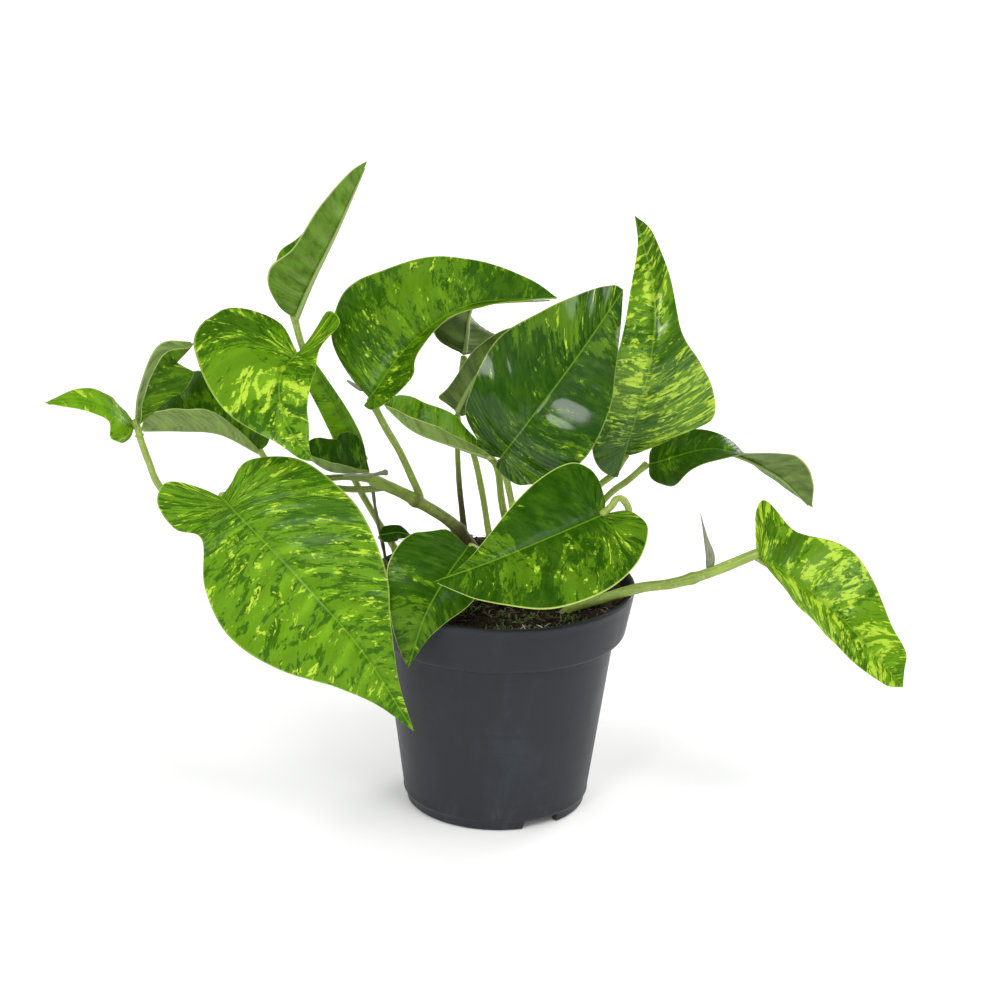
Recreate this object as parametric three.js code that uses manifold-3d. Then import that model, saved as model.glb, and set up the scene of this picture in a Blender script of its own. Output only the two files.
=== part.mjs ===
// A variegated pothos plant in a round nursery pot. Millimetres, +Z up.
// The origin is the centre of the pot's underside, on the surface that it stands on.
import * as THREE from 'three';
import { mergeVertices } from 'three/addons/utils/BufferGeometryUtils.js';
import Module from 'manifold-3d';

const wasm = await Module();
wasm.setup();

// Pot
const RIM_RADIUS = 60;
const POT_HEIGHT = 101.6;
const BAND_HEIGHT = 21.5;
const BAND_FOOT_RADIUS = 56;
const BODY_TOP_RADIUS = 51.2;
const BODY_FOOT_RADIUS = 41.2;
const FOOT_RADIUS = 39.9;
const WALL = 1.4;
const RIM_LIP = 2.4;
const RECESS_HEIGHT = 4;
const FLOOR_TOP = 5.4;
const DISC_RADIUS = 14;
const POT_SEGMENTS = 40;
const LIP_DRAFT = 0.3;
const BAND_FOOT_Z = POT_HEIGHT - BAND_HEIGHT;
const INNER_STEP_RADIUS = BAND_FOOT_RADIUS - 2 * WALL;
const INNER_STEP_RISE = 2.5;
const INNER_STEP_DROP = 1.5;
const NOTCH = { count: 3, firstAngle: -59, width: 17, height: 3.8, inner: 35, depth: 12 };
const DRAIN = { count: 6, circle: 25, radius: 3.5, sides: 10 };

// Soil
const GAP = 0.3;
const SOIL_EDGE_Z = 96.4;
const SOIL_CROWN = 1.5;
const MOUND = { x: -20, y: 28, height: 14, spreadX: 24, spreadY: 13 };
const SOIL_RINGS = 7;
const SOCKET_CLEARANCE = 0.45;

// Blades and stems
const BLADE_THICKNESS = 0.6;
const VEIN_SWEEP = 0.45;
const BLADE_STATIONS = 10;
const BLADE_STEPS = 3;
const MIN_VEIN_PITCH = 0.012;
const STEM_SIDES = 6;
const STEM_STEPS_PER_POINT = 2;

// Each leaf: the midrib from the petiole to the tip, which way the upper side faces along it,
// and the left and right outlines as [along, out] pairs, in millimetres along the midrib and
// out from it. A negative "along" is a basal lobe behind the petiole. fold is the angle of each
// half to the flat in degrees, [left, right] at the petiole and then at the tip. curl is how many
// degrees each half turns per centimetre outwards, and bend how a lobe turns per centimetre back.
const LEAVES = {
  leaf_front_left: {
    midrib: [[-119, -30, 148], [-87, -50, 122], [-58, -64, 94], [-35, -64, 57]],
    facing: [[-0.2, -0.8, 0.7], [-0.2, -0.85, 0.6], [-0.3, -0.95, 0.3], [-0.3, -0.95, 0.2]],
    left: [[-1, 7], [-3, 20], [11, 35], [33, 39], [52, 37], [73, 29], [86, 19], [108, 7]],
    right: [[-9, 4], [-21, 13], [-16, 22], [-2, 24], [9, 19], [25, 32], [47, 38], [74, 31], [99, 17], [115, 7]],
    fold: [[14, 14], [8, 8]], curl: [[-6, -3], [-3, -3]], bend: [-8, -4],
  },
  leaf_front_centre: {
    midrib: [[43, -47, 150], [20, -61, 144], [-4, -73, 137], [-27, -79, 130]],
    facing: [[0, -0.6, 0.8], [0, -0.6, 0.8], [0, -0.55, 0.8], [0, -0.5, 0.8]],
    left: [[-11, 4], [-12, 15], [2, 29], [20, 35], [42, 34], [59, 23], [71, 11]],
    right: [[-5, 8], [-7, 22], [4, 29], [27, 23], [51, 10], [68, 2]],
    fold: [[12, 12], [10, 10]], curl: [[-4, -6], [-3, -3]], bend: [-6, -6],
  },
  leaf_front_small: {
    midrib: [[-14, -30, 128], [-22, -46, 121], [-31, -58, 107], [-38, -58, 83]],
    facing: [[0.1, -0.6, 0.8], [0.1, -0.85, 0.5], [0.1, -0.95, 0.1], [0.1, -0.95, 0]],
    left: [[-1, 3], [7, 11], [26, 15], [43, 9], [53, 4]],
    right: [[-2, 12], [8, 20], [20, 24], [34, 24], [42, 18], [56, 8]],
    fold: [[10, 10], [10, 10]], curl: [[-4, -6], [-3, -3]], bend: [0, 0],
  },
  leaf_left_upper: {
    midrib: [[-89, 0, 204], [-95, -16, 197], [-92, -30, 183], [-79, -40, 168]],
    facing: [[0, -0.4, 0.9], [-0.1, -0.8, 0.6], [-0.1, -0.95, 0.3], [0.1, -0.95, 0.2]],
    left: [[-5, 3], [-24, 4], [-20, 12], [-4, 9], [17, 15], [45, 10], [56, 2]],
    right: [[-2, 2], [-12, 15], [-11, 37], [12, 42], [21, 34], [33, 23], [45, 9], [57, 4]],
    fold: [[10, 20], [10, 10]], curl: [[0, -5], [-5, -3]], bend: [10, -6],
  },
  leaf_spear: {
    midrib: [[-91, 14, 216], [-84, 12, 233], [-73, 10, 256], [-60, 8, 286]],
    facing: [[-1, -0.1, 0.3], [-1, -0.2, 0.4], [-1, -0.2, 0.5], [-1, -0.2, 0.5]],
    left: [[0, 4], [8, 12], [26, 20], [39, 15], [58, 10], [70, 5]],
    right: [[0, 2], [7, 11], [27, 24], [39, 18], [58, 14], [72, 6]],
    fold: [[55, 65], [40, 60]], curl: [[-5, -3], [-3, -3]], bend: [0, 0],
  },
  leaf_top_arch: {
    midrib: [[-58, 4, 183], [-41, 10, 206], [-16, 6, 225], [22, 2, 230]],
    facing: [[-0.3, -0.85, 0.5], [-0.2, -0.75, 0.7], [0, -0.6, 0.8], [0, -0.5, 0.9]],
    left: [[3, 12], [12, 28], [22, 37], [30, 41], [43, 36], [60, 29], [73, 21], [90, 10]],
    right: [[-4, 0], [1, 12], [31, 27], [52, 17], [68, 15], [82, 11], [94, 6]],
    fold: [[12, 30], [10, 40]], curl: [[-5, 8], [-4, 8]], bend: [-6, 0],
  },
  leaf_back_centre: {
    midrib: [[-18, 30, 196], [-17, 38, 204], [-16, 48, 213], [-14, 60, 220]],
    facing: [[0, 0.8, 0.6], [0, 0.8, 0.6], [0, 0.8, 0.6], [0, 0.8, 0.6]],
    left: [[4, 5], [12, 14], [24, 16], [34, 8]],
    right: [[2, 4], [5, 12], [14, 17], [26, 14], [35, 6]],
    fold: [[16, 16], [10, 10]], curl: [[-3, -3], [-3, -3]], bend: [0, 0],
  },
  leaf_back_folded: {
    midrib: [[-20, 12, 175], [-11, 18, 191], [0, 24, 200], [13, 30, 206]],
    facing: [[0.3, 0.8, 0.4], [0.3, 0.8, 0.4], [0.3, 0.8, 0.4], [0.3, 0.8, 0.4]],
    left: [[0, 3], [7, 8], [17, 13], [33, 15], [45, 8]],
    right: [[1, 6], [2, 11], [7, 9], [15, 8], [25, 9], [38, 9], [46, 6]],
    fold: [[16, 16], [10, 10]], curl: [[-3, -3], [-3, -3]], bend: [0, 0],
  },
  leaf_right_glossy: {
    midrib: [[-1, -11, 162], [11, -17, 181], [30, -9, 206], [50, 7, 233]],
    facing: [[-0.1, -0.9, 0.2], [-0.05, -0.9, 0.35], [0, -0.85, 0.5], [0, -0.8, 0.6]],
    left: [[-1, 7], [9, 22], [26, 28], [51, 32], [71, 23], [86, 12], [93, 4]],
    right: [[-5, 2], [-2, 15], [19, 25], [36, 29], [54, 25], [67, 17], [83, 7]],
    fold: [[12, 12], [10, 10]], curl: [[-6, -5], [-3, -3]], bend: [-6, -6],
  },
  leaf_centre_narrow: {
    midrib: [[-5, -8, 162], [-20, -12, 168], [-38, -14, 175], [-51, -12, 185]],
    facing: [[0, -0.1, 1], [0, -0.1, 1], [0, -0.1, 1], [0, -0.1, 1]],
    left: [[8, 3], [20, 6], [31, 9], [43, 7], [49, 3]],
    right: [[7, 5], [16, 10], [25, 14], [43, 12], [51, 7]],
    fold: [[55, 45], [55, 45]], curl: [[0, 0], [0, 0]], bend: [0, 0],
  },
  leaf_right_tall: {
    midrib: [[53, 6, 159], [62, -2, 202], [63, 6, 233], [54, 14, 264]],
    facing: [[0.1, -0.95, 0.3], [0.1, -0.95, 0.25], [0.05, -0.95, 0.2], [0, -0.95, 0.1]],
    left: [[-11, 0], [-8, 9], [1, 15], [13, 16], [25, 17], [43, 15], [76, 10], [98, 2]],
    right: [[3, 6], [16, 23], [23, 32], [32, 29], [42, 21], [56, 11], [87, 7], [102, 5]],
    fold: [[12, 14], [10, 15]], curl: [[-3, -5], [-3, -5]], bend: [-4, 0],
  },
  leaf_right_twisted: {
    midrib: [[65, 26, 149], [94, 16, 160], [120, 14, 150], [137, 12, 135]],
    facing: [[0.1, -0.85, 0.5], [0, -0.1, 1], [0.4, 0.6, 0.7], [0.8, 0.4, 0.4]],
    left: [[2, 6], [9, 11], [16, 13], [30, 13], [48, 13], [68, 9]],
    right: [[0, 6], [4, 11], [15, 20], [28, 21], [42, 20], [58, 20], [72, 13]],
    fold: [[10, 10], [10, 10]], curl: [[-3, -3], [-3, -3]], bend: [0, 0],
  },
  leaf_far_right: {
    midrib: [[111, -12, 121], [130, -20, 111], [151, -28, 95], [176, -28, 67]],
    facing: [[0.4, -0.6, 0.7], [0.4, -0.7, 0.6], [0.4, -0.75, 0.5], [0.4, -0.8, 0.4]],
    left: [[-7, 10], [-12, 19], [-10, 26], [11, 20], [35, 27], [54, 23], [70, 15], [80, 12], [84, 6]],
    right: [[11, 3], [29, 15], [47, 19], [60, 17], [80, 9]],
    fold: [[14, 30], [10, 20]], curl: [[-3, 5], [-2, 3]], bend: [4, 0],
  },
  leaf_far_left: {
    midrib: [[-159, -4, 170], [-168, -8, 178], [-181, -10, 183], [-196, -10, 182]],
    facing: [[0, -0.1, 1], [0, -0.1, 1], [0, -0.2, 1], [0, -0.2, 1]],
    left: [[1, 7], [6, 14], [12, 15], [14, 6], [22, 5], [32, 4]],
    right: [[0, 8], [8, 14], [22, 12], [34, 6]],
    fold: [[-30, 10], [-10, 10]], curl: [[-3, -3], [-3, -3]], bend: [-20, 0],
  },
  leaf_left_upfolded: {
    midrib: [[-157, -4, 171], [-155, -6, 187], [-147, -4, 206], [-133, 0, 207]],
    facing: [[1, -0.3, 0], [1, -0.3, -0.1], [0.6, -0.3, -0.8], [0, -0.3, -1]],
    left: [[6, 6], [14, 9], [24, 10], [36, 9], [46, 6]],
    right: [[4, 5], [10, 13], [20, 20], [31, 22], [44, 14]],
    fold: [[30, 40], [30, 40]], curl: [[0, 0], [0, 0]], bend: [0, 0],
  },
  leaf_left_long: {
    midrib: [[-107, 20, 153], [-124, 18, 162], [-141, 14, 164], [-158, 8, 165]],
    facing: [[0, -0.1, 1], [0, -0.1, 1], [0, -0.1, 1], [0, -0.1, 1]],
    left: [[3, 2], [9, 5], [17, 9], [26, 16], [37, 16], [47, 16], [54, 13]],
    right: [[-2, 5], [0, 11], [11, 17], [20, 23], [27, 28], [38, 24], [47, 14]],
    fold: [[55, 45], [55, 45]], curl: [[0, 0], [0, 0]], bend: [0, 0],
  },
  leaf_centre_small: {
    midrib: [[-58, 8, 149], [-69, 6, 149], [-77, 4, 151], [-88, 2, 159]],
    facing: [[0, -0.1, 1], [0, -0.1, 1], [0, -0.1, 1], [0, -0.1, 1]],
    left: [[4, 2], [12, 6], [23, 7], [29, 3]],
    right: [[1, 5], [2, 12], [6, 17], [13, 17], [29, 11], [33, 5]],
    fold: [[48, 58], [48, 58]], curl: [[0, 0], [0, 0]], bend: [0, 0],
  },
  leaf_tiny: {
    midrib: [[-54, 14, 117], [-50, 16, 117], [-46, 18, 117], [-40, 18, 116]],
    facing: [[0, -0.5, 0.85], [0, -0.5, 0.85], [0, -0.5, 0.85], [0, -0.5, 0.85]],
    left: [[4, 4], [10, 4], [12, 3]],
    right: [[0, 5], [6, 6], [13, 3]],
    fold: [[12, 12], [10, 10]], curl: [[-4, -4], [-3, -3]], bend: [0, 0],
  },
  leaf_sheath: {
    midrib: [[-61, 18, 150], [-67, 18, 164], [-74, 17, 178], [-84, 14, 196]],
    facing: [[-0.4, -0.8, 0.3], [-0.4, -0.8, 0.3], [-0.4, -0.8, 0.3], [-0.4, -0.8, 0.3]],
    left: [[3, 3], [15, 8], [34, 8], [50, 6]],
    right: [[4, 3], [15, 5], [34, 4], [52, 2]],
    fold: [[20, 20], [20, 20]], curl: [[6, 6], [6, 6]], bend: [0, 0],
  },
};

// Each stem: its route, its radius, and whether its end stands in the soil.
const STEMS = {
  vine_main: {
    radius: 2.4, rooted: true,
    route: [[-7, 26, 90], [-9, 26, 102], [-15, 22, 113], [-23, 18, 123], [-36, 16, 132],
      [-46, 14, 138], [-56, 12, 143]],
  },
  vine_runner: {
    radius: 1.4, rooted: true,
    route: [[-157, -4, 168], [-156, -4, 164], [-153, -4, 155], [-148, -6, 144], [-135, -4, 128],
      [-114, 0, 116], [-84, 6, 108], [-58, 10, 107], [-44, 12, 99], [-41, 12, 86]],
  },
  petiole_front_left: {
    radius: 1.6, rooted: false,
    route: [[-118, -28, 148], [-112, -18, 147], [-92, 2, 145], [-71, 10, 145], [-60, 12, 144]],
  },
  petiole_front_centre: {
    radius: 1.6, rooted: true,
    route: [[46, -45, 153], [48, -42, 155], [51, -39, 154], [54, -35, 147], [53, -28, 133],
      [45, -18, 112], [38, -12, 93]],
  },
  petiole_front_small: {
    radius: 1.5, rooted: true,
    route: [[-12, -27, 127], [-10, -22, 124], [-7, -16, 116], [-4, -12, 102], [-3, -12, 92]],
  },
  petiole_spear: {
    radius: 1.7, rooted: true,
    route: [[-91, 15, 215], [-88, 16, 203], [-80, 22, 176], [-67, 26, 142], [-54, 28, 117],
      [-47, 28, 105], [-43, 27, 91]],
  },
  petiole_top_arch: {
    radius: 1.8, rooted: false,
    route: [[-57, 6, 181], [-51, 10, 168], [-45, 14, 156], [-39, 16, 142], [-37, 17, 137]],
  },
  petiole_back_centre: {
    radius: 1.4, rooted: true,
    route: [[-18, 29, 194], [-19, 30, 187], [-20, 30, 171], [-20, 28, 155], [-19, 30, 137],
      [-17, 34, 118], [-15, 34, 101]],
  },
  petiole_right_glossy: {
    radius: 1.7, rooted: true,
    route: [[0, -8, 159], [2, -8, 152], [5, -6, 138], [9, -4, 118], [12, -4, 95]],
  },
  petiole_back_folded: {
    radius: 1.6, rooted: true,
    route: [[-20, 13, 172], [-18, 14, 165], [-13, 16, 156], [-9, 18, 139], [-6, 18, 122],
      [-4, 16, 111], [-3, 14, 97]],
  },
  petiole_centre_narrow: {
    radius: 1.7, rooted: true,
    route: [[-5, -8, 161], [-2, -4, 155], [0, 4, 138], [3, 10, 120], [5, 8, 99]],
  },
  petiole_right_tall: {
    radius: 1.7, rooted: true,
    route: [[53, 10, 157], [49, 12, 149], [41, 11, 142], [26, 8, 126], [20, 4, 111], [18, 2, 93]],
  },
  petiole_right_twisted: {
    radius: 1.6, rooted: true,
    route: [[63, 26, 148], [56, 24, 142], [47, 22, 135], [35, 20, 119], [29, 18, 106], [27, 16, 91]],
  },
  vine_far_right: {
    radius: 2.1, rooted: true,
    route: [[25, -26, 93], [31, -24, 99], [44, -20, 102], [61, -16, 106], [75, -15, 108],
      [91, -14, 113], [110, -12, 121]],
  },
  petiole_left_long: {
    radius: 1.5, rooted: false,
    route: [[-106, 20, 152], [-103, 20, 148], [-94, 20, 141], [-76, 20, 137], [-61, 18, 137]],
  },
  petiole_tiny: {
    radius: 1.0, rooted: true,
    route: [[-48, 14, 114], [-47, 15, 109], [-44, 18, 102], [-41, 20, 88]],
  },
  root_aerial: {
    radius: 0.8, rooted: true,
    route: [[-57, 18, 137], [-56, 20, 128], [-54, 20, 117], [-52, 20, 108], [-50, 20, 95]],
  },
  bract_spike: {
    radius: 0.8, rooted: false,
    route: [[91, -12, 115], [91, -12, 120], [89, -11, 127], [86, -10, 139]],
  },
  stem_stub: {
    radius: 0.9, rooted: false,
    route: [[-67, -6, 151], [-59, -5, 151], [-50, 0, 151]],
  },
  bract_small: {
    radius: 0.6, rooted: false,
    route: [[-66, 0, 191], [-63, 0, 189], [-61, 1, 187]],
  },
};

const COLOURS = {
  pot: 0x3a3d42,
  soil: 0x2e2118,
  leaf: 0x4f9a1f,
  stem: 0x86a84a,
  dry: 0x8a8768,
};
const DRY_PIECES = ['bract_spike', 'bract_small', 'stem_stub', 'root_aerial'];

const radians = THREE.MathUtils.degToRad;

// ---------- solids ----------

function toManifold(geometry) {
  const bare = geometry.clone();
  bare.deleteAttribute('normal');
  bare.deleteAttribute('uv');
  const merged = mergeVertices(bare, 1e-4);
  const mesh = new wasm.Mesh({
    numProp: 3,
    vertProperties: new Float32Array(merged.attributes.position.array),
    triVerts: new Uint32Array(merged.index.array),
  });
  return new wasm.Manifold(mesh);
}

function toGeometry(solid) {
  const mesh = solid.getMesh();
  return indexedGeometry(Array.from(mesh.vertProperties), Array.from(mesh.triVerts));
}

function indexedGeometry(positions, triangles) {
  const geometry = new THREE.BufferGeometry();
  geometry.setAttribute('position', new THREE.Float32BufferAttribute(positions, 3));
  geometry.setIndex(triangles);
  geometry.computeVertexNormals();
  return geometry;
}

// A profile of [radius, z] pairs, listed up the outside, turned about Z.
function turned(profile, segments) {
  const points = profile.map(([radius, z]) => new THREE.Vector2(radius, z));
  const geometry = new THREE.LatheGeometry(points, segments);
  geometry.rotateX(Math.PI / 2);
  return geometry;
}

// ---------- pot ----------

function potProfile() {
  return [
    [0, 0],
    [DISC_RADIUS, 0],
    [DISC_RADIUS + 1, RECESS_HEIGHT],
    [FOOT_RADIUS - 4.4, RECESS_HEIGHT],
    [FOOT_RADIUS - 3, 0],
    [FOOT_RADIUS - 1, 0],
    [FOOT_RADIUS, 0.9],
    [BODY_FOOT_RADIUS, 6],
    [BODY_TOP_RADIUS, BAND_FOOT_Z - 0.6],
    [BAND_FOOT_RADIUS - 1.4, BAND_FOOT_Z],
    [BAND_FOOT_RADIUS, BAND_FOOT_Z + 1.6],
    [RIM_RADIUS - 0.2, POT_HEIGHT - 1],
    [RIM_RADIUS - 0.6, POT_HEIGHT],
    [RIM_RADIUS - RIM_LIP, POT_HEIGHT],
    [RIM_RADIUS - RIM_LIP - LIP_DRAFT, POT_HEIGHT - 3],
    [INNER_STEP_RADIUS, BAND_FOOT_Z + INNER_STEP_RISE],
    [BODY_TOP_RADIUS - WALL, BAND_FOOT_Z - INNER_STEP_DROP],
    [BODY_FOOT_RADIUS - WALL, FLOOR_TOP],
    [0, FLOOR_TOP],
  ];
}

function footNotch(angle) {
  const box = new THREE.BoxGeometry(NOTCH.depth, NOTCH.width, 2 * NOTCH.height);
  box.translate(NOTCH.inner + NOTCH.depth / 2, 0, 0);
  box.rotateZ(radians(angle));
  return toManifold(box);
}

function drainHole(angle) {
  const hole = new THREE.CylinderGeometry(DRAIN.radius, DRAIN.radius, 4, DRAIN.sides);
  hole.rotateX(Math.PI / 2);
  hole.translate(DRAIN.circle, 0, FLOOR_TOP - 0.5);
  hole.rotateZ(radians(angle));
  return toManifold(hole);
}

function pot() {
  let solid = toManifold(turned(potProfile(), POT_SEGMENTS));
  for (let i = 0; i < NOTCH.count; i += 1) {
    solid = solid.subtract(footNotch(NOTCH.firstAngle + (360 * i) / NOTCH.count));
  }
  for (let i = 0; i < DRAIN.count; i += 1) {
    solid = solid.subtract(drainHole((360 * i) / DRAIN.count));
  }
  return toGeometry(solid);
}

// ---------- soil ----------

function soilHeight(x, y, edgeRadius) {
  const crown = SOIL_CROWN * (1 - (x * x + y * y) / edgeRadius ** 2);
  const across = ((x - MOUND.x) / MOUND.spreadX) ** 2;
  const along = ((y - MOUND.y) / MOUND.spreadY) ** 2;
  return SOIL_EDGE_Z + crown + MOUND.height * Math.exp(-(across + along) / 2);
}

// Rings of points from the top's centre outwards, down the side and under to the centre.
function soil() {
  const edgeRadius = RIM_RADIUS - RIM_LIP - 2 * LIP_DRAFT - GAP;
  const positions = [0, 0, soilHeight(0, 0, edgeRadius)];
  const rings = [];
  for (let i = 1; i <= SOIL_RINGS; i += 1) {
    rings.push({ radius: (edgeRadius * i) / SOIL_RINGS, z: null });
  }
  rings.push({ radius: INNER_STEP_RADIUS - GAP, z: BAND_FOOT_Z + INNER_STEP_RISE + 0.7 });
  rings.push({ radius: BODY_TOP_RADIUS - WALL - GAP, z: BAND_FOOT_Z - INNER_STEP_DROP + GAP });
  rings.push({ radius: BODY_FOOT_RADIUS - WALL - GAP, z: FLOOR_TOP + GAP });
  for (const ring of rings) {
    for (let k = 0; k < POT_SEGMENTS; k += 1) {
      const angle = (2 * Math.PI * k) / POT_SEGMENTS;
      const x = ring.radius * Math.cos(angle);
      const y = ring.radius * Math.sin(angle);
      positions.push(x, y, ring.z === null ? soilHeight(x, y, edgeRadius) : ring.z);
    }
  }
  positions.push(0, 0, FLOOR_TOP + GAP);
  const bottom = positions.length / 3 - 1;
  const at = (ring, k) => 1 + ring * POT_SEGMENTS + (k % POT_SEGMENTS);
  const triangles = [];
  for (let k = 0; k < POT_SEGMENTS; k += 1) {
    triangles.push(0, at(0, k), at(0, k + 1));
    for (let ring = 0; ring + 1 < rings.length; ring += 1) {
      triangles.push(at(ring, k), at(ring + 1, k), at(ring + 1, k + 1));
      triangles.push(at(ring, k), at(ring + 1, k + 1), at(ring, k + 1));
    }
    triangles.push(bottom, at(rings.length - 1, k + 1), at(rings.length - 1, k));
  }
  let solid = toManifold(indexedGeometry(positions, triangles));
  for (const stem of Object.values(STEMS)) {
    if (stem.rooted) {
      solid = solid.subtract(toManifold(socket(stem)));
    }
  }
  return toGeometry(solid);
}

// The space that a rooted stem takes up in the soil, a little wider and deeper than the stem.
function socket(stem) {
  const route = stem.route.map((point) => new THREE.Vector3(...point));
  const end = lowEndIsFirst(stem) ? 0 : route.length - 1;
  route[end].z -= SOCKET_CLEARANCE;
  return tube(route, stem.radius + SOCKET_CLEARANCE);
}

function lowEndIsFirst(stem) {
  return stem.route[0][2] < stem.route[stem.route.length - 1][2];
}

// ---------- stems ----------

function tube(route, radius) {
  const shape = new THREE.Shape();
  for (let k = 0; k < STEM_SIDES; k += 1) {
    const angle = (2 * Math.PI * k) / STEM_SIDES;
    const corner = [radius * Math.cos(angle), radius * Math.sin(angle)];
    if (k === 0) {
      shape.moveTo(...corner);
    } else {
      shape.lineTo(...corner);
    }
  }
  const path = new THREE.CatmullRomCurve3(route, false, 'centripetal');
  const steps = STEM_STEPS_PER_POINT * (route.length - 1);
  return new THREE.ExtrudeGeometry(shape, { steps, bevelEnabled: false, extrudePath: path });
}

function stemGeometry(stem) {
  return tube(stem.route.map((point) => new THREE.Vector3(...point)), stem.radius);
}

// ---------- leaves ----------

// A smooth curve through the points, at a fraction from 0 to 1 of their count.
function through(points, fraction) {
  const last = points.length - 1;
  const place = Math.min(Math.max(fraction, 0), 1) * last;
  const i = Math.min(Math.floor(place), last - 1);
  const f = place - i;
  const mirrored = (end, next) => end.map((value, axis) => 2 * value - next[axis]);
  const a = i > 0 ? points[i - 1] : mirrored(points[0], points[1]);
  const b = points[i];
  const c = points[i + 1];
  const d = i + 2 <= last ? points[i + 2] : mirrored(points[last], points[last - 1]);
  return b.map((value, axis) => {
    const linear = c[axis] - a[axis];
    const square = 2 * a[axis] - 5 * value + 4 * c[axis] - d[axis];
    const cube = 3 * value - a[axis] - 3 * c[axis] + d[axis];
    return 0.5 * (2 * value + linear * f + square * f ** 2 + cube * f ** 3);
  });
}

function midribLength(leaf) {
  const samples = 60;
  let length = 0;
  let before = new THREE.Vector3(...leaf.midrib[0]);
  for (let i = 1; i <= samples; i += 1) {
    const next = new THREE.Vector3(...through(leaf.midrib, i / samples));
    length += next.distanceTo(before);
    before = next;
  }
  return length;
}

// The blade's surface point and upward normal, for a place given in millimetres along the
// midrib and out from it on one side: -1 is the left half and +1 the right.
function bladePoint(leaf, length, along, out, side) {
  const half = side < 0 ? 0 : 1;
  const fraction = Math.min(Math.max(along / length, 0), 1);
  const step = 0.001;
  const centre = new THREE.Vector3(...through(leaf.midrib, fraction));
  const ahead = new THREE.Vector3(...through(leaf.midrib, fraction + step));
  const behind = new THREE.Vector3(...through(leaf.midrib, fraction - step));
  const tangent = ahead.sub(behind).normalize();
  const up = new THREE.Vector3(...through(leaf.facing, fraction));
  up.addScaledVector(tangent, -up.dot(tangent)).normalize();
  const across = tangent.clone().cross(up);

  const mix = (pair) => pair[0][half] + (pair[1][half] - pair[0][half]) * fraction;
  const fold = radians(mix(leaf.fold));
  const curl = radians(mix(leaf.curl) || 0.001) / 10;
  const turn = fold + curl * out;
  const flat = (Math.sin(turn) - Math.sin(fold)) / curl;
  const rise = (Math.cos(fold) - Math.cos(turn)) / curl;

  const back = Math.max(-along, 0);
  const bend = radians(leaf.bend[half] || 0.001) / 10;
  const point = centre
    .addScaledVector(tangent, -Math.sin(bend * back) / bend)
    .addScaledVector(up, (1 - Math.cos(bend * back)) / bend + rise)
    .addScaledVector(across, side * flat);
  const normal = up.clone().multiplyScalar(Math.cos(turn) * Math.cos(bend * back))
    .addScaledVector(across, -side * Math.sin(turn))
    .addScaledVector(tangent, Math.cos(turn) * Math.sin(bend * back));
  return { point, normal: normal.normalize() };
}

// Where each vein starts on the midrib and where it meets the edge on both sides.
function veins(leaf, length) {
  const edge = (outline, fraction) => through([[0, 0], ...outline, [length, 0]], fraction);
  const rows = [];
  let start = 0;
  for (let i = 0; i <= BLADE_STATIONS; i += 1) {
    const left = edge(leaf.left, i / BLADE_STATIONS);
    const right = edge(leaf.right, i / BLADE_STATIONS);
    const swept = (left[0] + right[0] - VEIN_SWEEP * (left[1] + right[1])) / 2;
    start = i === 0 ? 0 : Math.max(start + MIN_VEIN_PITCH * length, swept);
    rows.push({ start, left, right });
  }
  rows[BLADE_STATIONS].start = length;
  return rows;
}

// A row of surface points on one vein line, from the left edge over the midrib to the right edge.
function veinRow(leaf, length, row) {
  const places = [];
  for (let step = BLADE_STEPS; step >= 1; step -= 1) {
    places.push({ side: -1, edge: row.left, share: step / BLADE_STEPS });
  }
  places.push({ side: 1, edge: row.right, share: 0 });
  for (let step = 1; step <= BLADE_STEPS; step += 1) {
    places.push({ side: 1, edge: row.right, share: step / BLADE_STEPS });
  }
  return places.map(({ side, edge, share }) => {
    const along = row.start + (edge[0] - row.start) * share;
    return bladePoint(leaf, length, along, Math.max(edge[1], 0) * share, side);
  });
}

// A thin closed blade: an upper and a lower skin, joined around the edge.
function leafGeometry(leaf) {
  const length = midribLength(leaf);
  const rows = veins(leaf, length);
  const inner = rows.slice(1, -1).map((row) => veinRow(leaf, length, row));
  const base = bladePoint(leaf, length, 0, 0, 1);
  const tip = bladePoint(leaf, length, length, 0, 1);
  const grid = [[base], ...inner, [tip]];
  const positions = [];
  const index = [];
  for (const offset of [BLADE_THICKNESS / 2, -BLADE_THICKNESS / 2]) {
    const skin = grid.map((row) => row.map(({ point, normal }) => {
      const shifted = point.clone().addScaledVector(normal, offset);
      positions.push(shifted.x, shifted.y, shifted.z);
      return positions.length / 3 - 1;
    }));
    index.push(skin);
  }
  const triangles = [];
  index.forEach((skin, lower) => {
    const add = (a, b, c) => (lower ? triangles.push(a, c, b) : triangles.push(a, b, c));
    const first = skin[1];
    const last = skin[skin.length - 2];
    for (let k = 0; k + 1 < first.length; k += 1) {
      add(skin[0][0], first[k + 1], first[k]);
      add(skin[skin.length - 1][0], last[k], last[k + 1]);
    }
    for (let row = 1; row + 2 < skin.length; row += 1) {
      for (let k = 0; k + 1 < first.length; k += 1) {
        add(skin[row][k], skin[row][k + 1], skin[row + 1][k + 1]);
        add(skin[row][k], skin[row + 1][k + 1], skin[row + 1][k]);
      }
    }
  });
  const rim = (skin) => {
    const middle = skin.slice(1, -1);
    const rightEdge = middle.map((row) => row[row.length - 1]);
    const leftEdge = middle.map((row) => row[0]).reverse();
    return [skin[0][0], ...rightEdge, skin[skin.length - 1][0], ...leftEdge];
  };
  const upper = rim(index[0]);
  const lower = rim(index[1]);
  upper.forEach((from, k) => {
    const next = (k + 1) % upper.length;
    triangles.push(from, lower[k], lower[next]);
    triangles.push(from, lower[next], upper[next]);
  });
  return indexedGeometry(positions, triangles);
}

// ---------- assembly ----------

function material(colour, roughness) {
  return new THREE.MeshStandardMaterial({ color: colour, roughness, metalness: 0 });
}

const plant = new THREE.Group();

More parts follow.
